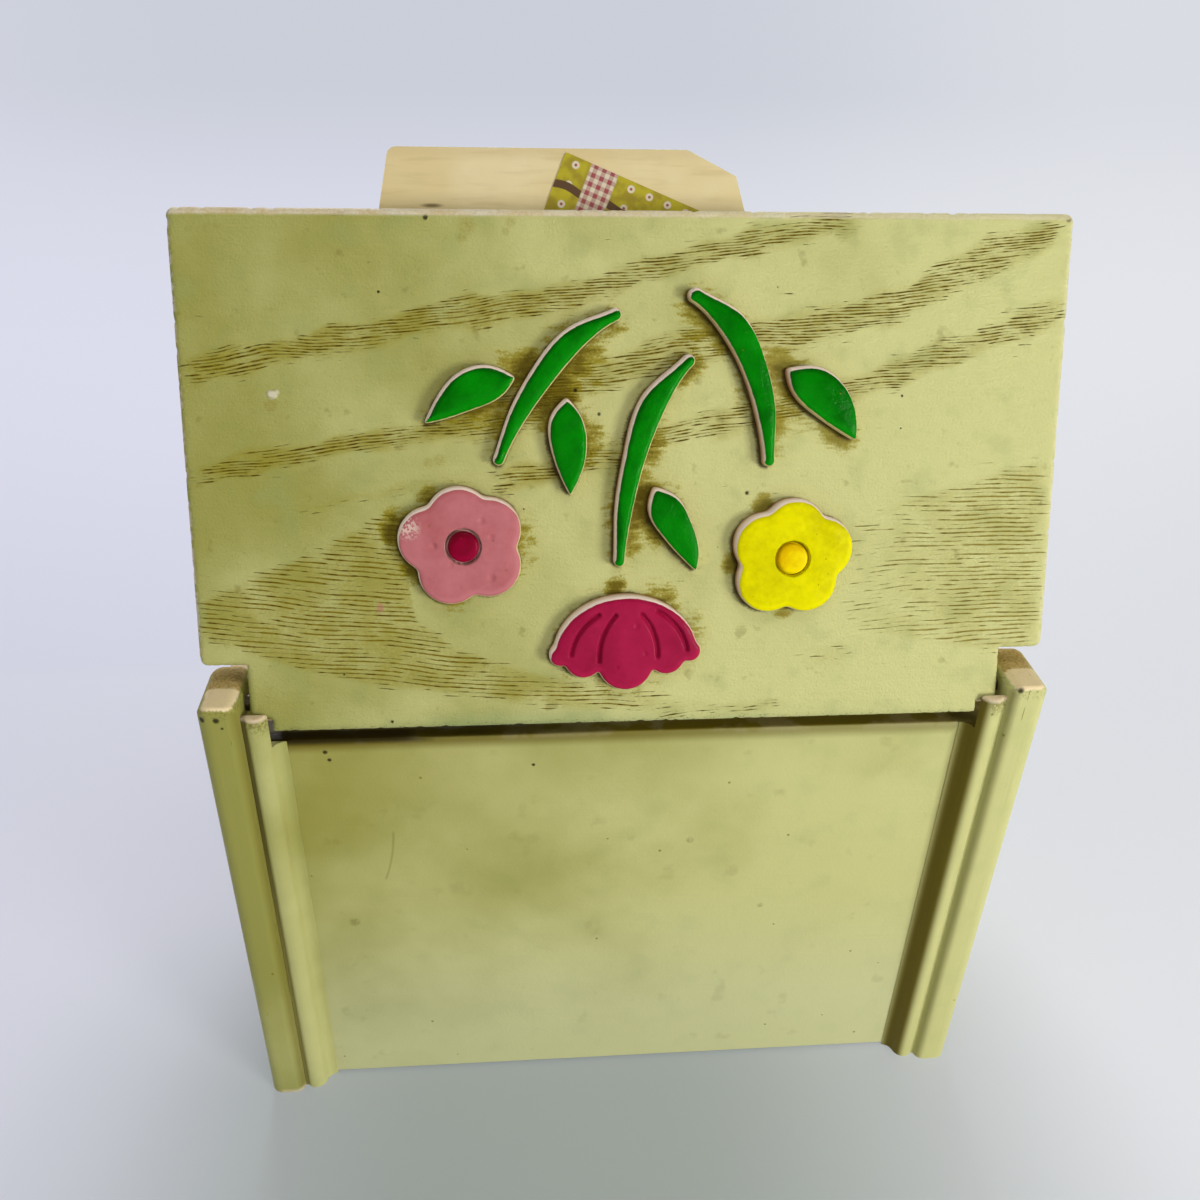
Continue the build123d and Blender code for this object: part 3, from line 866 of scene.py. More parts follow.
def chipped(loop, look):
    # small bites out of the outline, so that its edge isn't ruled
    bite = np.clip(ripple(loop, 6.0, 3) * ripple(loop, 2.1, 4) - 0.12, 0, 1) * look["chip"]
    return loop + inward(loop) * bite[:, None]


def lidTop(points, gap):
    swell = 0.05 * ripple(points, 22, 8) * np.clip(gap / 3, 0, 1)
    return -0.06 - shoulder(gap, lid["edgeRadius"]) + swell


def lidNotes(points):
    # what the lid's paint reads: open grain, glaze, how near the carving is and on which side
    near, side = np.full(len(points), 50.0), np.zeros(len(points))
    for loop in loops.values():
        away, toward = awayFrom(points, loop)
        away = np.where(isInside(points, loop), 0, away)
        side = np.where(away < near, toward @ np.array((0.8, 0.6)), side)
        near = np.minimum(near, away)
    openGrain = {"bands": grainBands(points), "fields": grainFields(points)}
    return {**openGrain, "near": near, "side": side, "glaze": glazeAt(points)}


def outset(loop, out):
    # the outline a little way outside, so the glaze beside it is smooth
    return (loop - inward(loop) * out)[::2]


lidPiece = cutBoard(
    "lidBoard", chipped(lidLoop(lid), lid), lid["spacing"], lidTop, -lid["thickness"],
    inner=[outset(loop, out) for loop in loops.values() for out in (0.02, 0.4, 0.85)],
    rings=(0.2, 0.45, 0.75, 1.1, 1.5), notes=lidNotes, under=lid["underRadius"], wallRows=8,
)
print("lid board cut:", len(lidPiece.data.vertices), "points")


# Finishes

greens = {
    "light": tone(208, 207, 140),
    "deep": tone(160, 158, 80),
    "cool": tone(152, 170, 110),
    "sea": tone(104, 140, 96),
    "pore": tone(140, 118, 4),
    "poreDeep": tone(92, 70, 0),
    "stainedPaint": tone(150, 136, 2),
    "antique": tone(104, 88, 0),
    "shadow": tone(36, 26, 4),
    "worn": tone(222, 194, 150),
    "wornLight": tone(244, 232, 214),
    "rubbed": tone(226, 222, 172),
    "outline": tone(62, 46, 6),
    "washed": tone(216, 221, 190),
    # the rear of the ear tops in the lid's painted shadow
    "earBack": tone(158, 126, 2),
    "earTop": tone(252, 230, 178),
}
poreLook = {  # as shares of the noise they are cut from, and of the pitch of their lines
    "rare": 0.69,
    "opened": 0.36,
    "uneven": 0.3,
    "growth": 1.4,
    "widest": 0.27,
    "softness": 0.16,
    "skirt": 0.62,
    "skirtSoftness": 0.5,
}


def openPores(finish, row, x, point, dense, pitch, often):
    # broken dark lines a pitch apart, each with its own dashes, closer set where the grain is open
    row = row / pitch
    line = row.sum("FLOOR", row)
    ridge = 1 - 2 * abs(row.fraction() - 0.5)
    along = finish.node("ShaderNodeCombineXYZ", values={0: x * often + line * 3.7, 1: line * 5.13})
    dash = finish.noise(along, 1.0, rough=0.55)
    bead = finish.noise(point, 0.8, stretch=(0.5, 1.0, 1.0)) - 0.5
    growth, widest, softness, skirtWidth, skirtSoftness = (
        poreLook[key] / pitch for key in ("growth", "widest", "softness", "skirt", "skirtSoftness")
    )
    wide = (dash - poreLook["rare"] + dense * poreLook["opened"] + bead * poreLook["uneven"]) * growth
    skirt = (ridge - 1 + wide.between(0.0, 0.4 / pitch) * skirtWidth).between(0.0, skirtSoftness)
    ink = (ridge - 1 + wide.atMost(widest)).between(0.0, softness)
    ink = ink * (0.62 + (bead * 2.2 + dash - 0.5).between(-0.25, 0.3) * 0.38)
    return ink, (dash - 0.58 + bead * 1.3).between(-0.08, 0.16), skirt


lidMarks = {  # x, y, z, radius
    "pits": (
        (-42.2, 78.0, -0.1, 0.2), (-34.2, 89.7, -0.1, 0.36), (-10.8, 48.2, -0.1, 0.45),
        (-42.9, 4.5, -0.1, 0.24), (46.7, 60.8, -0.1, 0.2), (74.2, 90.2, -0.4, 0.5),
        (19.8, 44.3, -0.1, 0.3), (-10.0, 62.0, -0.1, 0.3), (-6.0, 58.0, -0.1, 0.25),
    ),
    "smudges": (
        (-27.6, 88.4, -0.1, 1.3), (-20.4, 89.1, -0.1, 0.8), (-60.6, 59.8, -0.1, 1.0),
        (-28.4, 86.6, -0.1, 0.8), (-33.2, 50.5, -0.1, 1.0), (-35.0, 50.0, -0.1, 0.8),
        (-21.2, 87.6, -0.1, 0.6),
    ),
    "chip": (-60.2, 61.6, -0.1),
    "pinkSpeck": (-44.1, 25.1, -0.1),
    "pink": tone(190, 110, 110),
}
lidWear = {  # mm across or up the lid: where the wear and the painted edge highlights start and where they are full
    "tongue": (7.4, 3.2),
    "dust": (4.6, 3.2),
    "aboveTongue": (14.0, 17.0),
    "farEdgeHighlight": (89.6, 90.3),
    "leftEdge": (-74.5, -75.3),
    "rightEdgeWearAndHighlight": (74.2, 75.2),
}


def lidPaint():
    finish = Finish("lidPaint")
    point = finish.plan(planOrigin, lidTurn)
    x, y, z = finish.parts(point)
    names = ("bands", "fields", "near", "side", "gap", "glaze")
    bands, fields, near, side, gap, patch = (finish.read(name) for name in names)
    cloud = finish.noise(point, 26, detail=3.0)
    blotch = finish.noise(point, 7, detail=3.0)
    fine = finish.noise(point, 0.5)
    sand = finish.noise(point, 0.28, detail=1.0)
    brush = finish.noise(point, 1.0, stretch=(0.05, 1.3, 1.3))
    # painted shade: darker to the left and towards the far edge, as the light falls off, over the paint's own
    # cloudy ageing
    age = (cloud * 1.3 - 0.47 - x * 0.0068 + y * 0.0022 + (blotch - 0.5) * 0.4).between(0.0, 1.0)
    finish.colour = finish.blend(age, greens["light"], greens["deep"])
    finish.coat((blotch - 0.5).between(0.02, 0.2) * 0.22, greens["cool"])
    tongue = y.between(*lidWear["tongue"]) * (cloud * 1.4 - 0.3).between(0.0, 0.6)
    tongue = tongue * (abs(x + 8.0).between(40.0, 20.0) * 0.3 + 0.1)
    finish.coat(tongue, greens["sea"])
    # open grain: straight bands over the lid and two fields low on it
    wander = (finish.noise(point, 34, detail=1.0) - 0.5) * 5.0
    wander = wander + (finish.noise(point, 4.0, detail=1.0, stretch=(0.5, 1.0, 1.0)) - 0.5) * 0.8
    row = y - x * 0.075 + wander
    bandPores, bandDeep, bandSkirt = openPores(finish, row, x, point, bands, *grain["bandPores"])
    row = y + x.atMost(0.0) * 0.09 - x.atLeast(0.0) * 0.02 + wander * 0.8 + 3.3
    fieldPores, fieldDeep, fieldSkirt = openPores(finish, row, x, point, fields, *grain["fieldPores"])
    fieldPores = fieldPores * (1 - x.between(10.0, 40.0) * 0.32)
    pores, deepest = bandPores.atLeast(fieldPores), bandDeep.atMost(fieldDeep + bandPores)
    tint = bands.between(0.15, 0.9) + fields.between(0.3, 1.0) * 0.85
    tint = tint * (blotch * 0.7 + fine * 0.3 - 0.3).between(0.0, 0.3)
    finish.coat(tint * (0.34 + x.between(0.0, -20.0) * 0.24), greens["stainedPaint"])
    skirt = (bandSkirt * bands).atLeast(fieldSkirt * fields)
    finish.coat(skirt * 0.5, greens["stainedPaint"])
    pore = finish.blend(deepest, greens["pore"], greens["poreDeep"])
    finish.coat(pores, pore)
    # glaze left round the carving, in patches, and a thin dark line along its left that is partly glaze and
    # partly painted shadow
    speck = finish.noise(point, 0.42, rough=0.7)
    ragged = finish.noise(point, 3.2, detail=3.0)
    smear = finish.noise(point, 1.0, detail=3.0, stretch=(0.3, 1.1, 1.0))
    glaze = patch * 0.95 + near.between(5.0, 0.2) * 0.42
    glaze = glaze + (speck - 0.5) * 0.7 + (ragged - 0.5) * 0.8 + (smear - 0.5) * 1.3
    glaze = (glaze - 0.44).between(0.0, 1.05) * (1 - x.between(6.0, 24.0) * 0.35)
    finish.coat(glaze.between(0.0, 0.42) * 0.8, greens["stainedPaint"])
    finish.coat(glaze.between(0.3, 1.0) * 0.85, greens["antique"])
    # painted shadow with glaze: a thin dark line beside the carving, widest on the sides away from the light
    glazeAndShadowLine = near - side.atLeast(-0.2) * 0.55 + (speck - 0.5) * 0.7 + (ragged - 0.5) * 1.1
    finish.coat(glazeAndShadowLine.between(0.45, -0.3) * 0.9, greens["outline"])
    # pits, stains and marks
    pit = finish.cells(point, 5.6).between(0.04, 0.02) * (blotch - 0.5).between(0.0, 0.05)
    pit = pit.atLeast(finish.spots(point, lidMarks["pits"]))
    finish.coat(pit * 0.9, greens["shadow"])
    smudge = finish.spots(point, lidMarks["smudges"]) * (speck * 1.4 - 0.3).atLeast(0.0)
    finish.coat(smudge * 0.6, greens["pore"])
    stain = (finish.noise(point + (50.0, 7.0, 0.0), 4.2, detail=3.0) - 0.64).between(0.0, 0.1)
    finish.coat(stain * 0.3, greens["antique"])
    dust = y.between(*lidWear["dust"]) * (speck * 0.8 + fine * 0.5 - 0.72).between(0.0, 0.08)
    finish.coat(dust * 0.6, greens["shadow"])
    chip = finish.spot(point + (ragged - 0.5) * 2.4, lidMarks["chip"], 0.8, 0.3)
    finish.coat(chip * 0.6, greens["wornLight"])
    fleck = finish.spot(point, lidMarks["pinkSpeck"], 0.85, 0.4, squeeze=(1.7, 1.0, 1.0))
    finish.coat(fleck * 0.55, lidMarks["pink"])
    # rubbed edges and chips down the left, a painted highlight along the far edge, and a pale line down the
    # right edge that is partly wear and partly painted highlight
    outer = y.between(*lidWear["aboveTongue"])
    # painted highlight along the rounded far edge
    farEdgeHighlight = y.between(*lidWear["farEdgeHighlight"]) * gap.between(1.6, 0.9) * z.between(-2.4, -1.2)
    flaked = (finish.noise(point, 2.2, detail=4.0, rough=0.7) - 0.46).between(0.0, 0.06)
    leftEdge = x.between(*lidWear["leftEdge"]) * flaked
    rubAndHighlight = finish.noise(point, 5.0, detail=4.0, rough=0.62) * 1.6 - gap * 0.9 + z.atLeast(-3.0) * 0.2
    rubAndHighlight = (rubAndHighlight - 0.6 + outer * 0.14).between(0.0, 0.16)
    sides = z.between(-1.0, -1.6) * z.between(-9.5, -7.2) * outer
    sides = sides * (finish.noise(point, 4.0, detail=4.0) - 0.53).between(0.0, 0.08)
    rubAndHighlight = rubAndHighlight.atLeast(sides) * (0.4 + outer * 0.6)
    thinned = (finish.noise(point, 3.0, detail=3.0) - 0.36).between(0.0, 0.12)
    # pale line down the right edge: wear and painted highlight
    rightEdgeWearAndHighlight = x.between(*lidWear["rightEdgeWearAndHighlight"]) * thinned
    rubAndHighlight = rubAndHighlight.atLeast(leftEdge * outer).atLeast(farEdgeHighlight * 0.85).atLeast(rightEdgeWearAndHighlight * outer * 0.7)
    worn = finish.blend((fine * 0.4 + blotch * 0.6).between(0.3, 0.7), greens["worn"], greens["wornLight"])
    worn = finish.blend(x.between(-20.0, 60.0) * 0.6, worn, greens["rubbed"])
    finish.coat(rubAndHighlight * 0.85, worn)
    lumps = finish.noise(point, 1.5, detail=3.0, rough=0.6, stretch=(0.6, 1.1, 1.0))
    height = fine * 0.34 + sand * 0.26 + brush * 0.34 + lumps * 0.55 + blotch * 0.4
    height = height - pores * 0.7 - pit * 0.9 - rubAndHighlight * 0.25 + speck * glaze * 0.3 + chip * 0.8
    roughness = 0.42 + (fine - 0.5) * 0.18 + pores * 0.2 + rubAndHighlight * 0.2
    return finish.surface(roughness, height, depth=0.34, Specular_IOR_Level=0.12)


dress(lidPaint(), lidPiece)
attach(lidPiece, "lid")
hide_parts("lid_board")

carvedPaints = {  # each with its darker passages, how rough and shiny it is, and the slot it answers
    "leafGreen": {
        "paint": tone(2, 138, 4), "deep": tone(0, 84, 0), "slot": "leaf_paint",
        "rough": 0.17, "shine": 0.06, "mottled": 0.3, "lumps": 1.3,
    },
    "rose": {
        "paint": tone(200, 120, 124), "deep": tone(180, 96, 98), "slot": "rose_paint",
        "rough": 0.42, "shine": 0.1, "mottled": 0.5, "scuff": ((-38.6, 39.4), 1.7),
        "seat": roundFlowers["pinkFlower"]["centre"], "seatTone": tone(240, 196, 184), "seatStrength": 0.8,
    },
    "crimson": {
        "paint": tone(150, 0, 48), "deep": tone(112, 0, 28), "slot": "crimson_paint",
        "rough": 0.3, "shine": 0.08, "mottled": 0.3, "allPaint": True,
    },
    "yellow": {
        "paint": tone(240, 232, 0), "deep": tone(206, 196, 0), "slot": "yellow_paint",
        "rough": 0.34, "shine": 0.03, "mottled": 0.8,
        "seat": roundFlowers["yellowFlower"]["centre"], "seatTone": tone(238, 200, 0), "seatStrength": 0.5,
    },
    "amber": {
        "paint": tone(252, 226, 0), "deep": tone(232, 188, 0), "slot": "amber_paint",
        "rough": 0.3, "shine": 0.04, "mottled": 1.4, "allPaint": True,
    },
    "magenta": {
        "paint": tone(178, 26, 72), "deep": tone(150, 14, 56), "slot": "magenta_paint",
        "rough": 0.3, "shine": 0.1, "mottled": 0.4,
    },
}
rimWood = {
    "pale": tone(236, 216, 198),
    "tan": tone(186, 144, 102),
    "low": tone(224, 212, 150),
    "dirt": tone(66, 44, 16),
}


def carvedFinish(name, look):
    finish = Finish(name)
    point = finish.plan(planOrigin, lidTurn)
    gap, lean, rise = (finish.read(key) for key in ("gap", "lean", "rise"))
    cloud = finish.noise(point, 6, detail=3.0)
    fine = finish.noise(point, 0.45)
    edgeWave = finish.noise(point, 1.6, detail=3.0)
    fleck = finish.noise(point, 1.1, detail=3.0, rough=0.7)
    # the lean term darkens paint on shoulders facing up and left and lightens those facing down and right:
    # painted shade and highlight; the rest is the paint's own mottling
    shade = (fleck - 0.5) * look["mottled"] + lean * gap.between(1.5, 0.2) * 0.8 + (cloud - 0.5) * 1.3
    finish.colour = finish.blend((shade + 0.42).between(0.0, 1.0), look["paint"], look["deep"])
    speck = finish.cells(point, 2.3).between(0.09, 0.05) * (cloud - 0.42).between(0.0, 0.1)
    finish.coat(speck * 0.55, greens["pore"])
    edge = relief["paintEdge"] + lean.atLeast(0.0) * relief["paintLean"] + (edgeWave - 0.5) * 0.22
    bare = 0.0 if look.get("allPaint") else (gap - edge).between(0.07, -0.03)
    # bare rim wood, pale high on its wall and on sides facing up and left, tan lower down: painted light and
    # shade over the wood's own tone
    level = (rise + lean * 0.8 + (fine - 0.5) * 0.7 + (cloud - 0.5) * 0.8).between(1.0, 3.0)
    wood = finish.blend(level, rimWood["tan"], rimWood["pale"])
    wood = finish.blend(lean.between(0.1, -0.5) * 0.8, wood, rimWood["low"])
    # dark at the foot of the wall, where the carving meets the lid: pooled glaze and painted shade
    dirt = (rise + (edgeWave - 0.5) * 0.8).between(0.55, 0.0)
    wood = finish.blend(dirt * 0.7, wood, rimWood["dirt"])
    height = cloud * 0.5 + fine * 0.22 + fleck * look.get("lumps", 0.2) - speck * 0.6 - bare * 0.1
    roughness = look["rough"] + (fine - 0.5) * 0.12 + bare * 0.3
    if "seat" in look:
        centre = (*look["seat"], relief["height"])
        floor = finish.spot(point, centre, relief["seatRadius"] + 0.05, 0.08)
        finish.coat(floor * look["seatStrength"], look["seatTone"])
        # a dark ring at the seat's wall round the button: painted shade in the groove
        rim = floor * (1 - finish.spot(point, centre, relief["seatRadius"] - 0.14, 0.06))
        rim = rim * (edgeWave * 1.6 - 0.1).between(0.2, 0.8)
        finish.coat(rim * 0.7, rimWood["dirt"])
    if "scuff" in look:
        place, size = look["scuff"]
        worn = finish.spot(point, (*place, relief["height"]), size, size * 0.6)
        worn = worn * (fine * 0.7 + edgeWave * 0.5 - 0.56).between(0.0, 0.08)
        finish.coat(worn * 0.7, rimWood["pale"])
    finish.coat(bare, wood)
    return finish.surface(roughness, height, depth=0.12, Specular_IOR_Level=look["shine"])


pieceFinishes = dict.fromkeys((*stems, *leaves), "leafGreen")
pieceFinishes.update(pinkFlower="rose", pinkFlowerButton="crimson")
pieceFinishes.update(yellowFlower="yellow", yellowFlowerButton="amber", halfFlower="magenta")
carvedMaterials = {name: carvedFinish(name, look) for name, look in carvedPaints.items()}


def nodeName(name):
    return "".join("_" + letter.lower() if letter.isupper() else letter for letter in name)


for name, paint in pieceFinishes.items():
    dress(carvedMaterials[paint], ornament[name])
    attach(ornament[name], "lid")
    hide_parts(nodeName(name))
print("carving painted")

boards = {  # mm, across and deep from the middle, up from the floor
    "halfWidth": 76.0,
    "halfDepth": 45.6,
    "sideThickness": 7.2,
    "earTop": 105.0,
    "sideTop": 96.2,
    "panelInner": 34.7,
    "panelTop": 94.26,
    "beadTop": 101.5,
    "panelStains": ((12.8, -41.2, 66.5, 0.7), (28.8, -41.2, 47.5, 0.6), (-54.3, -41.2, 47.4, 1.0)),
    "panelDots": ((-55.7, -41.2, 91.4, 0.4), (-55.1, -41.2, 89.6, 0.35), (-18.0, -41.2, 87.0, 0.3)),
    "scratch": (-45.6, 65.0, 6.6),  # x, z and half its length
    "earDots": (
        (-74.9, -45.2, 102.5, 0.55, 0.2), (-72.4, -45.3, 102.5, 0.6, 0.2), (-71.6, -45.4, 100.8, 0.3, 0.12),
    ),
    "earPit": (70.2, -45.3, 104.4),
}


def boardPaint(name, stretch, masks):
    # green paint on a board of the box: stretch follows its grain, masks gives the board its own wear and the
    # painted shade in its gaps and grooves
    finish = Finish(name)
    point = finish.plan()
    x, y, z = finish.parts(point)
    cloud = finish.noise(point + (9.0, 4.0, 2.0), 30, detail=3.0)
    blotch = finish.noise(point, 8, detail=3.0)
    fine = finish.noise(point, 0.5)
    brush = finish.noise(point, 1.0, stretch=tuple(s * 0.8 for s in stretch))
    mask = masks(finish, x, y, z, point, fine, blotch)
    # painted shade: darker to the left, as the light falls off, over the paint's own ageing and each board's
    # own term
    aged = (cloud * 1.2 - 0.25 - x * 0.0052 + (blotch - 0.5) * 0.22 + mask["age"]).between(0.0, 1.0)
    finish.colour = finish.blend(aged, greens["light"], greens["deep"])
    finish.coat((blotch - 0.5).between(0.02, 0.2) * 0.1, greens["cool"])
    if "pale" in mask:
        finish.coat(mask["pale"], greens["washed"])
        finish.coat(mask["olive"], greens["stainedPaint"])
    dashes = finish.noise(point, 1.0, detail=2.5, rough=0.62, stretch=stretch)
    sparse = (finish.noise(point, 18) - 0.5).between(0.0, 0.16)
    pores = (dashes - 0.77 + sparse * 0.12 * mask.get("grain", 1.0)).between(0.0, 0.05)
    finish.coat(pores * 0.6, greens["pore"])
    pit = finish.cells(point + (1.0, 5.0, 2.0), 7.0).between(0.05, 0.03)
    finish.coat(pit * 0.6, greens["pore"])
    finish.coat(mask["grime"], greens["antique"])
    bleached = (fine * 0.5 + blotch * 0.6).between(0.35, 0.8)
    woodTone = finish.blend(bleached, greens["worn"], greens["wornLight"])
    # the ears' end grain: fresh at the front and in the lid's painted shadow at the rear; on the bead tops a
    # share of each tone
    if "stained" in mask:
        woodTone = finish.blend(mask["fresh"], woodTone, greens["earTop"])
        woodTone = finish.blend(mask["stained"], woodTone, greens["earBack"])
    finish.coat(mask["bare"], woodTone)
    finish.coat(mask["dark"], greens["shadow"])
    height = fine * 0.18 + brush * 0.22 + blotch * 0.45
    height = height - pores * 0.7 - pit * 0.7 - mask["bare"] * 0.2 - mask["dark"] * 0.9
    roughness = 0.43 + (fine - 0.5) * 0.18 + mask["bare"] * 0.2
    return finish.surface(roughness, height, depth=0.2, Specular_IOR_Level=0.12)


def sideMasks(finish, x, y, z, point, fine, blotch):
    out = abs(x)
    ragged = (fine - 0.5) * 0.7 + (blotch - 0.5) * 1.1
    endGrain = (z + ragged).between(boards["earTop"] - 0.8, boards["earTop"] - 0.4)
    seat = z.between(boards["sideTop"] - 0.3, boards["sideTop"] - 0.1)
    seat = seat * (y + boards["halfDepth"]).between(14.2, 14.6)
    corner = (out - boards["halfWidth"]) * (1 / 2.2) + 1
    outer = corner.between(0.45, 1.0) * (abs(y) - boards["halfDepth"] + 2.4).between(0.6, 2.2)
    rubbed = outer * (blotch * 0.8 + fine * 0.5 - 0.62).between(0.0, 0.15)
    foot = z.between(1.4, 0.2) * (blotch - 0.42).between(0.0, 0.12)
    inside = (boards["halfWidth"] - out).between(boards["sideThickness"] - 0.4, boards["sideThickness"] - 0.1)
    inside = inside * abs(y).between(boards["panelInner"] + 0.4, boards["panelInner"] - 0.4)
    bare = endGrain.atLeast(seat).atLeast(rubbed * 0.7).atLeast(foot * 0.6).atLeast(inside * 0.9)
    # darker in the crevice at the ear's inner corner: painted shade and dirt
    creviceShadeAndDirt = out.between(70.6, 68.9) * abs(y).between(43.4, 45.0) * z.between(104.6, 103.0)
    under = (boards["earTop"] - z).between(3.5, 0.4) * (fine - 0.5).between(0.0, 0.14)
    grime = (creviceShadeAndDirt * 0.5).atLeast(under * 0.5) * (1 - bare)
    dark = finish.spots(point, boards["earDots"])
    dark = dark.atLeast(finish.spot(point + (blotch - 0.5) * 2.0, boards["earPit"], 0.5, 0.3))
    # painted shadow of the lid across the rear of each ear top
    stained = (y + ragged).between(-39.9, -39.2) * z.between(103.6, 104.4) * (0.8 + (fine - 0.5) * 1.2)
    age = x.between(-60.0, -66.0) * z.between(20.0, 70.0) * 1.1 - 0.06
    wood = {"bare": bare, "stained": stained * 0.85, "fresh": endGrain * (0.6 + fine * 0.5)}
    return {**wood, "grime": grime, "dark": dark * 0.9, "age": age}


def panelMasks(finish, x, y, z, point, fine, blotch):
    out = abs(y)
    inner = out.between(boards["panelInner"] + 3.4, boards["panelInner"] + 0.5)
    topEdge = z.between(boards["panelTop"] - 1.8, boards["panelTop"] - 0.2)
    rubbed = (blotch - 0.5).between(0.0, 0.1) * topEdge * 0.4
    # a darker band under the panel's top edge, stronger to the left: painted shade of the lid and stain
    topBandShadeAndStain = z.between(boards["panelTop"] - 3.4, boards["panelTop"] - 0.8) * (0.8 - x * 0.003)
    stains = (finish.noise(point + (30.0, 0.0, 11.0), 7.0, detail=3.0) - 0.62).between(0.0, 0.12)
    marks = finish.spots(point, boards["panelStains"]) * (fine + 0.2).between(0.4, 0.8) * 0.4
    scratchX, scratchZ, reach = boards["scratch"]
    up = z - scratchZ
    aside = abs(x - scratchX - up * 0.19 + up * up * 0.012)
    scratch = aside.between(0.34, 0.1) * abs(up - 0.2).between(reach, reach - 0.8) * y.between(-40.0, -41.0)
    # a darker strip beside the right bead: painted shade with grime
    corner = x.between(60.6, 62.4) * z.between(1.0, 90.0)
    grime = (topBandShadeAndStain * 0.85).atLeast(stains * 0.14).atLeast(marks).atLeast(scratch * 0.3).atLeast(corner * 0.45)
    # painted shadow under the lid's tongue: the back panel's top face dark, blackest at the left; the front
    # panel's top face darkened less
    gapDark = z.between(boards["panelTop"] - 1.6, boards["panelTop"] - 0.3)
    gapDark = gapDark * x.between(-33.0, -42.0) * y.between(-38.0, -39.0)
    topFace = z.between(boards["panelTop"] - 0.3, boards["panelTop"] - 0.05)
    atBack = y.between(30.0, -30.0)
    grime = grime.atLeast(topFace * (0.45 + atBack * 0.51))
    gapDark = gapDark.atLeast(topFace * atBack * (0.75 - x.between(-30.0, 0.0) * 0.65))
    dark = gapDark.atLeast(finish.spots(point, boards["panelDots"]))
    tints = {
        "pale": z.between(58.0, 12.0) * 0.3,
        "olive": z.between(30.0, 86.0) * x.between(30.0, -60.0) * 0.2,
        "age": (z - 54.0) * 0.0045 - 0.1,
    }
    bare = (inner * (1 - topFace)).atLeast(rubbed * 0.25)
    return {**tints, "bare": bare, "grime": grime, "dark": dark * 0.9, "grain": 0.4}


def beadMasks(finish, x, y, z, point, fine, blotch):
    top = z.between(boards["beadTop"] - 0.8, boards["beadTop"])
    near = z.between(boards["beadTop"] - 4.5, boards["beadTop"] - 0.5)
    near = near * (blotch * 0.5 + fine - 0.72).between(0.0, 0.12)
    # painted shade and dirt in the groove between the left post and its bead
    creviceShadeAndDirt = x.between(-67.2, -68.6)
    setBack = boards["halfDepth"] - abs(y)
    # the right bead's inner wall dark brown: painted shade with grime
    wall = x.between(66.6, 65.2) * x.between(60.6, 63.6) * setBack.between(0.5, 1.6)
    grime = (creviceShadeAndDirt * 0.8).atLeast(near * 0.6).atLeast(wall * 0.95)
    # the same left groove darker still: painted shade
    groove = x.between(-67.7, -68.6) * z.between(24.0, 84.0)
    age = (z - 70.0) * 0.005 - 0.08 - abs(x).between(62.6, 65.0) * 0.2
    wood = {"bare": top, "fresh": top * 0.3, "stained": top * 0.3}
    return {**wood, "grime": grime, "dark": groove * 0.6, "grain": 0.4, "age": age}


def nodesNamed(*names):
    return [nodes[name] for name in names]


sides = nodesNamed("left_side_board", "right_side_board")
panels = nodesNamed("back_panel", "front_panel")
beads = nodesNamed("back_left_bead", "back_right_bead", "front_left_bead", "front_right_bead")
dress(boardPaint("sidePaint", (1.6, 1.6, 0.14), sideMasks), *sides)
dress(boardPaint("panelPaint", (0.13, 1.7, 1.7), panelMasks), *panels)
dress(boardPaint("beadPaint", (1.6, 1.6, 0.12), beadMasks), *beads)
print("box painted")

bareWood = {
    "light": tone(222, 196, 152),
    "dark": tone(182, 148, 102),
    "line": tone(142, 108, 68),
    "stretch": (0.12, 1.6, 1.6),  # the grain runs across
}


def bareFinish(name, onLid, look):
    finish = Finish(name)
    point = finish.plan(planOrigin, lidTurn) if onLid else finish.plan()
    coarse, close = (tuple(part * share for part in look["stretch"]) for share in (0.35, 2.2))
    figure = finish.noise(point, 1.0, detail=4.0, rough=0.6, stretch=coarse, twist=0.4)
    fibre = finish.noise(point, 1.0, detail=3.0, rough=0.65, stretch=close)
    fine = finish.noise(point, 0.6)
    lines = (fibre - 0.58).between(0.0, 0.1)
    finish.colour = finish.blend(figure.between(0.38, 0.64), look["light"], look["dark"])
    finish.coat(lines * 0.5, look["line"])
    height = figure * 0.4 + fibre * 0.4 - lines * 0.6
    return finish.surface(0.66 + (fine - 0.5) * 0.16, height, depth=0.14)


dress(bareFinish("bottomWood", False, bareWood), nodes["bottom_panel"])
dress(bareFinish("railWood", True, bareWood), nodes["card_rail"])

pinSteel = {"bright": tone(132, 124, 110), "dull": tone(74, 64, 50), "rust": tone(112, 74, 42)}


def pinFinish(look):
    finish = Finish("pinSteel")
    point = finish.plan()
    drawn = finish.noise(point, 1.0, detail=3.0, stretch=(0.4, 6.0, 6.0))
    rust = (finish.noise(point, 0.9, detail=3.0) - 0.52).between(0.0, 0.12)
    finish.colour = finish.blend(rust * 0.6, finish.blend(drawn, look["bright"], look["dull"]), look["rust"])
    return finish.surface(0.34 + rust * 0.35, drawn, depth=0.03, Metallic=1.0)


dress(pinFinish(pinSteel), *nodesNamed("left_hinge_pin", "right_hinge_pin"))

card = {
    "paper": tone(228, 208, 156),
    "pale": tone(236, 220, 174),
    "aged": tone(186, 158, 104),
    "ink": tone(92, 72, 40),
    "nick": (-33.6, 92.8, 0.0),
    "tabEdge": (99.4, 101.9),
}


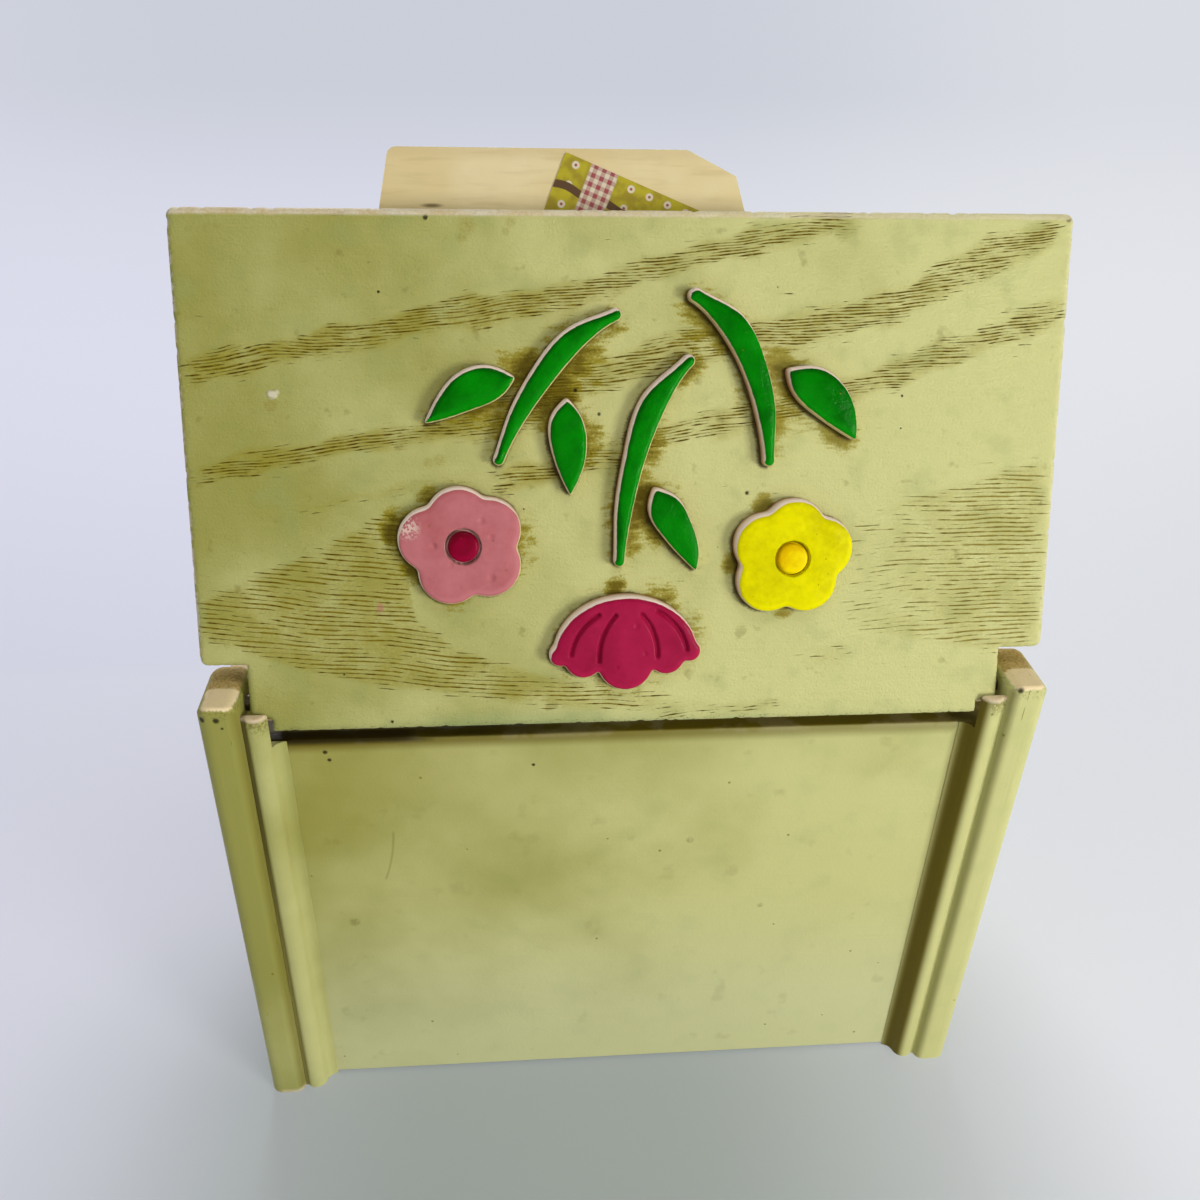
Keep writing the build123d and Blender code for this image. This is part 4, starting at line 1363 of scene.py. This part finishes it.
def cardFinish(look):
    finish = Finish("manila")
    point = finish.plan(planOrigin, lidTurn)
    _, y, _ = finish.parts(point)
    cloud = finish.noise(point, 16, detail=3.0)
    fibre = finish.noise(point, 0.8, detail=4.0, rough=0.7)
    streak = finish.noise(point, 1.0, stretch=(0.1, 0.9, 0.9))
    finish.colour = finish.blend(cloud.between(0.35, 0.65), look["paper"], look["pale"])
    finish.coat(streak.between(0.5, 0.75) * 0.22, look["aged"])
    edge = y.between(*look["tabEdge"])
    finish.coat(edge * (0.1 + cloud * 0.3), look["aged"])
    nick = finish.spot(point, look["nick"], 0.3, 0.2, squeeze=(0.2, 1.0, 0.0))
    finish.coat(nick * 0.8, look["ink"])
    spots = finish.cells(point, 4.5).between(0.07, 0.03) * (cloud - 0.48).between(0.0, 0.1)
    finish.coat(spots * 0.4, look["ink"])
    height = fibre * 0.6 + cloud * 0.3
    return finish.surface(0.78 + (fibre - 0.5) * 0.2, height, depth=0.05, Specular_IOR_Level=0.2)


labelPrint = {
    "ground": tone(186, 172, 10),
    "shade": tone(156, 138, 8),
    "rose": tone(158, 70, 74),
    "cream": tone(222, 210, 184),
    "brown": tone(88, 58, 22),
    "apex": (-10.8, 101.4, 0.0),  # its top corner, round which it is turned
    "turn": math.radians(-22.0),
    "checkSize": 1.5,
    "checkBand": (4.75, 9.65),  # across from the corner
    "bar": 96.3,
    "dotPitch": 3.4,
    "dotRadius": 0.19,  # of the pitch
    "eyeRadius": 0.07,
}


def labelFinish(look):
    # checks, spots and a wavy bar
    finish = Finish("labelPrint")
    point = finish.plan(planOrigin, lidTurn)
    turned = {"Vector": point, "Center": look["apex"], "Angle": -look["turn"]}
    spun = finish.node("ShaderNodeVectorRotate", {"rotation_type": "Z_AXIS"}, turned)
    x, y, _ = finish.parts(spun)
    cloud = finish.noise(point, 3.0, detail=3.0)
    fibre = finish.noise(point, 0.6, detail=3.0)
    finish.colour = finish.blend(cloud.between(0.4, 0.65), look["ground"], look["shade"])

    def stripes(along):
        return (((along + 400.0) / look["checkSize"]).fraction() - 0.5).between(0.06, -0.06)

    checks = finish.blend((stripes(x) + stripes(y)) * 0.5, look["cream"], look["rose"])
    across = x - look["apex"][0]
    start, end = look["checkBand"]
    inChecks = across.between(start - 0.15, start + 0.15) * across.between(end + 0.15, end - 0.15)
    finish.coat(inChecks, checks)
    wave = (x * 0.9).sum("SINE", x * 0.9)
    bar = abs(y - look["bar"] + wave * 0.25).between(0.75, 0.6) * (1 - inChecks)
    finish.coat(bar, look["brown"])
    pitches = spun * (1 / look["dotPitch"], 1 / look["dotPitch"], 0.0)
    cell = pitches.sum("FRACTION", pitches)
    free = (1 - inChecks) * (1 - bar)
    for radius, soft, ink in ((look["dotRadius"], 0.03, "cream"), (look["eyeRadius"], 0.02, "rose")):
        dot = finish.spot(cell, (0.5, 0.5, 0.0), radius, soft)
        finish.coat(dot * free, look[ink])
    return finish.surface(0.55 + (fibre - 0.5) * 0.2, fibre, depth=0.03)


dress(cardFinish(card), nodes["divider_card"])
dress(labelFinish(labelPrint), nodes["divider_label"])
print("card and label finished")
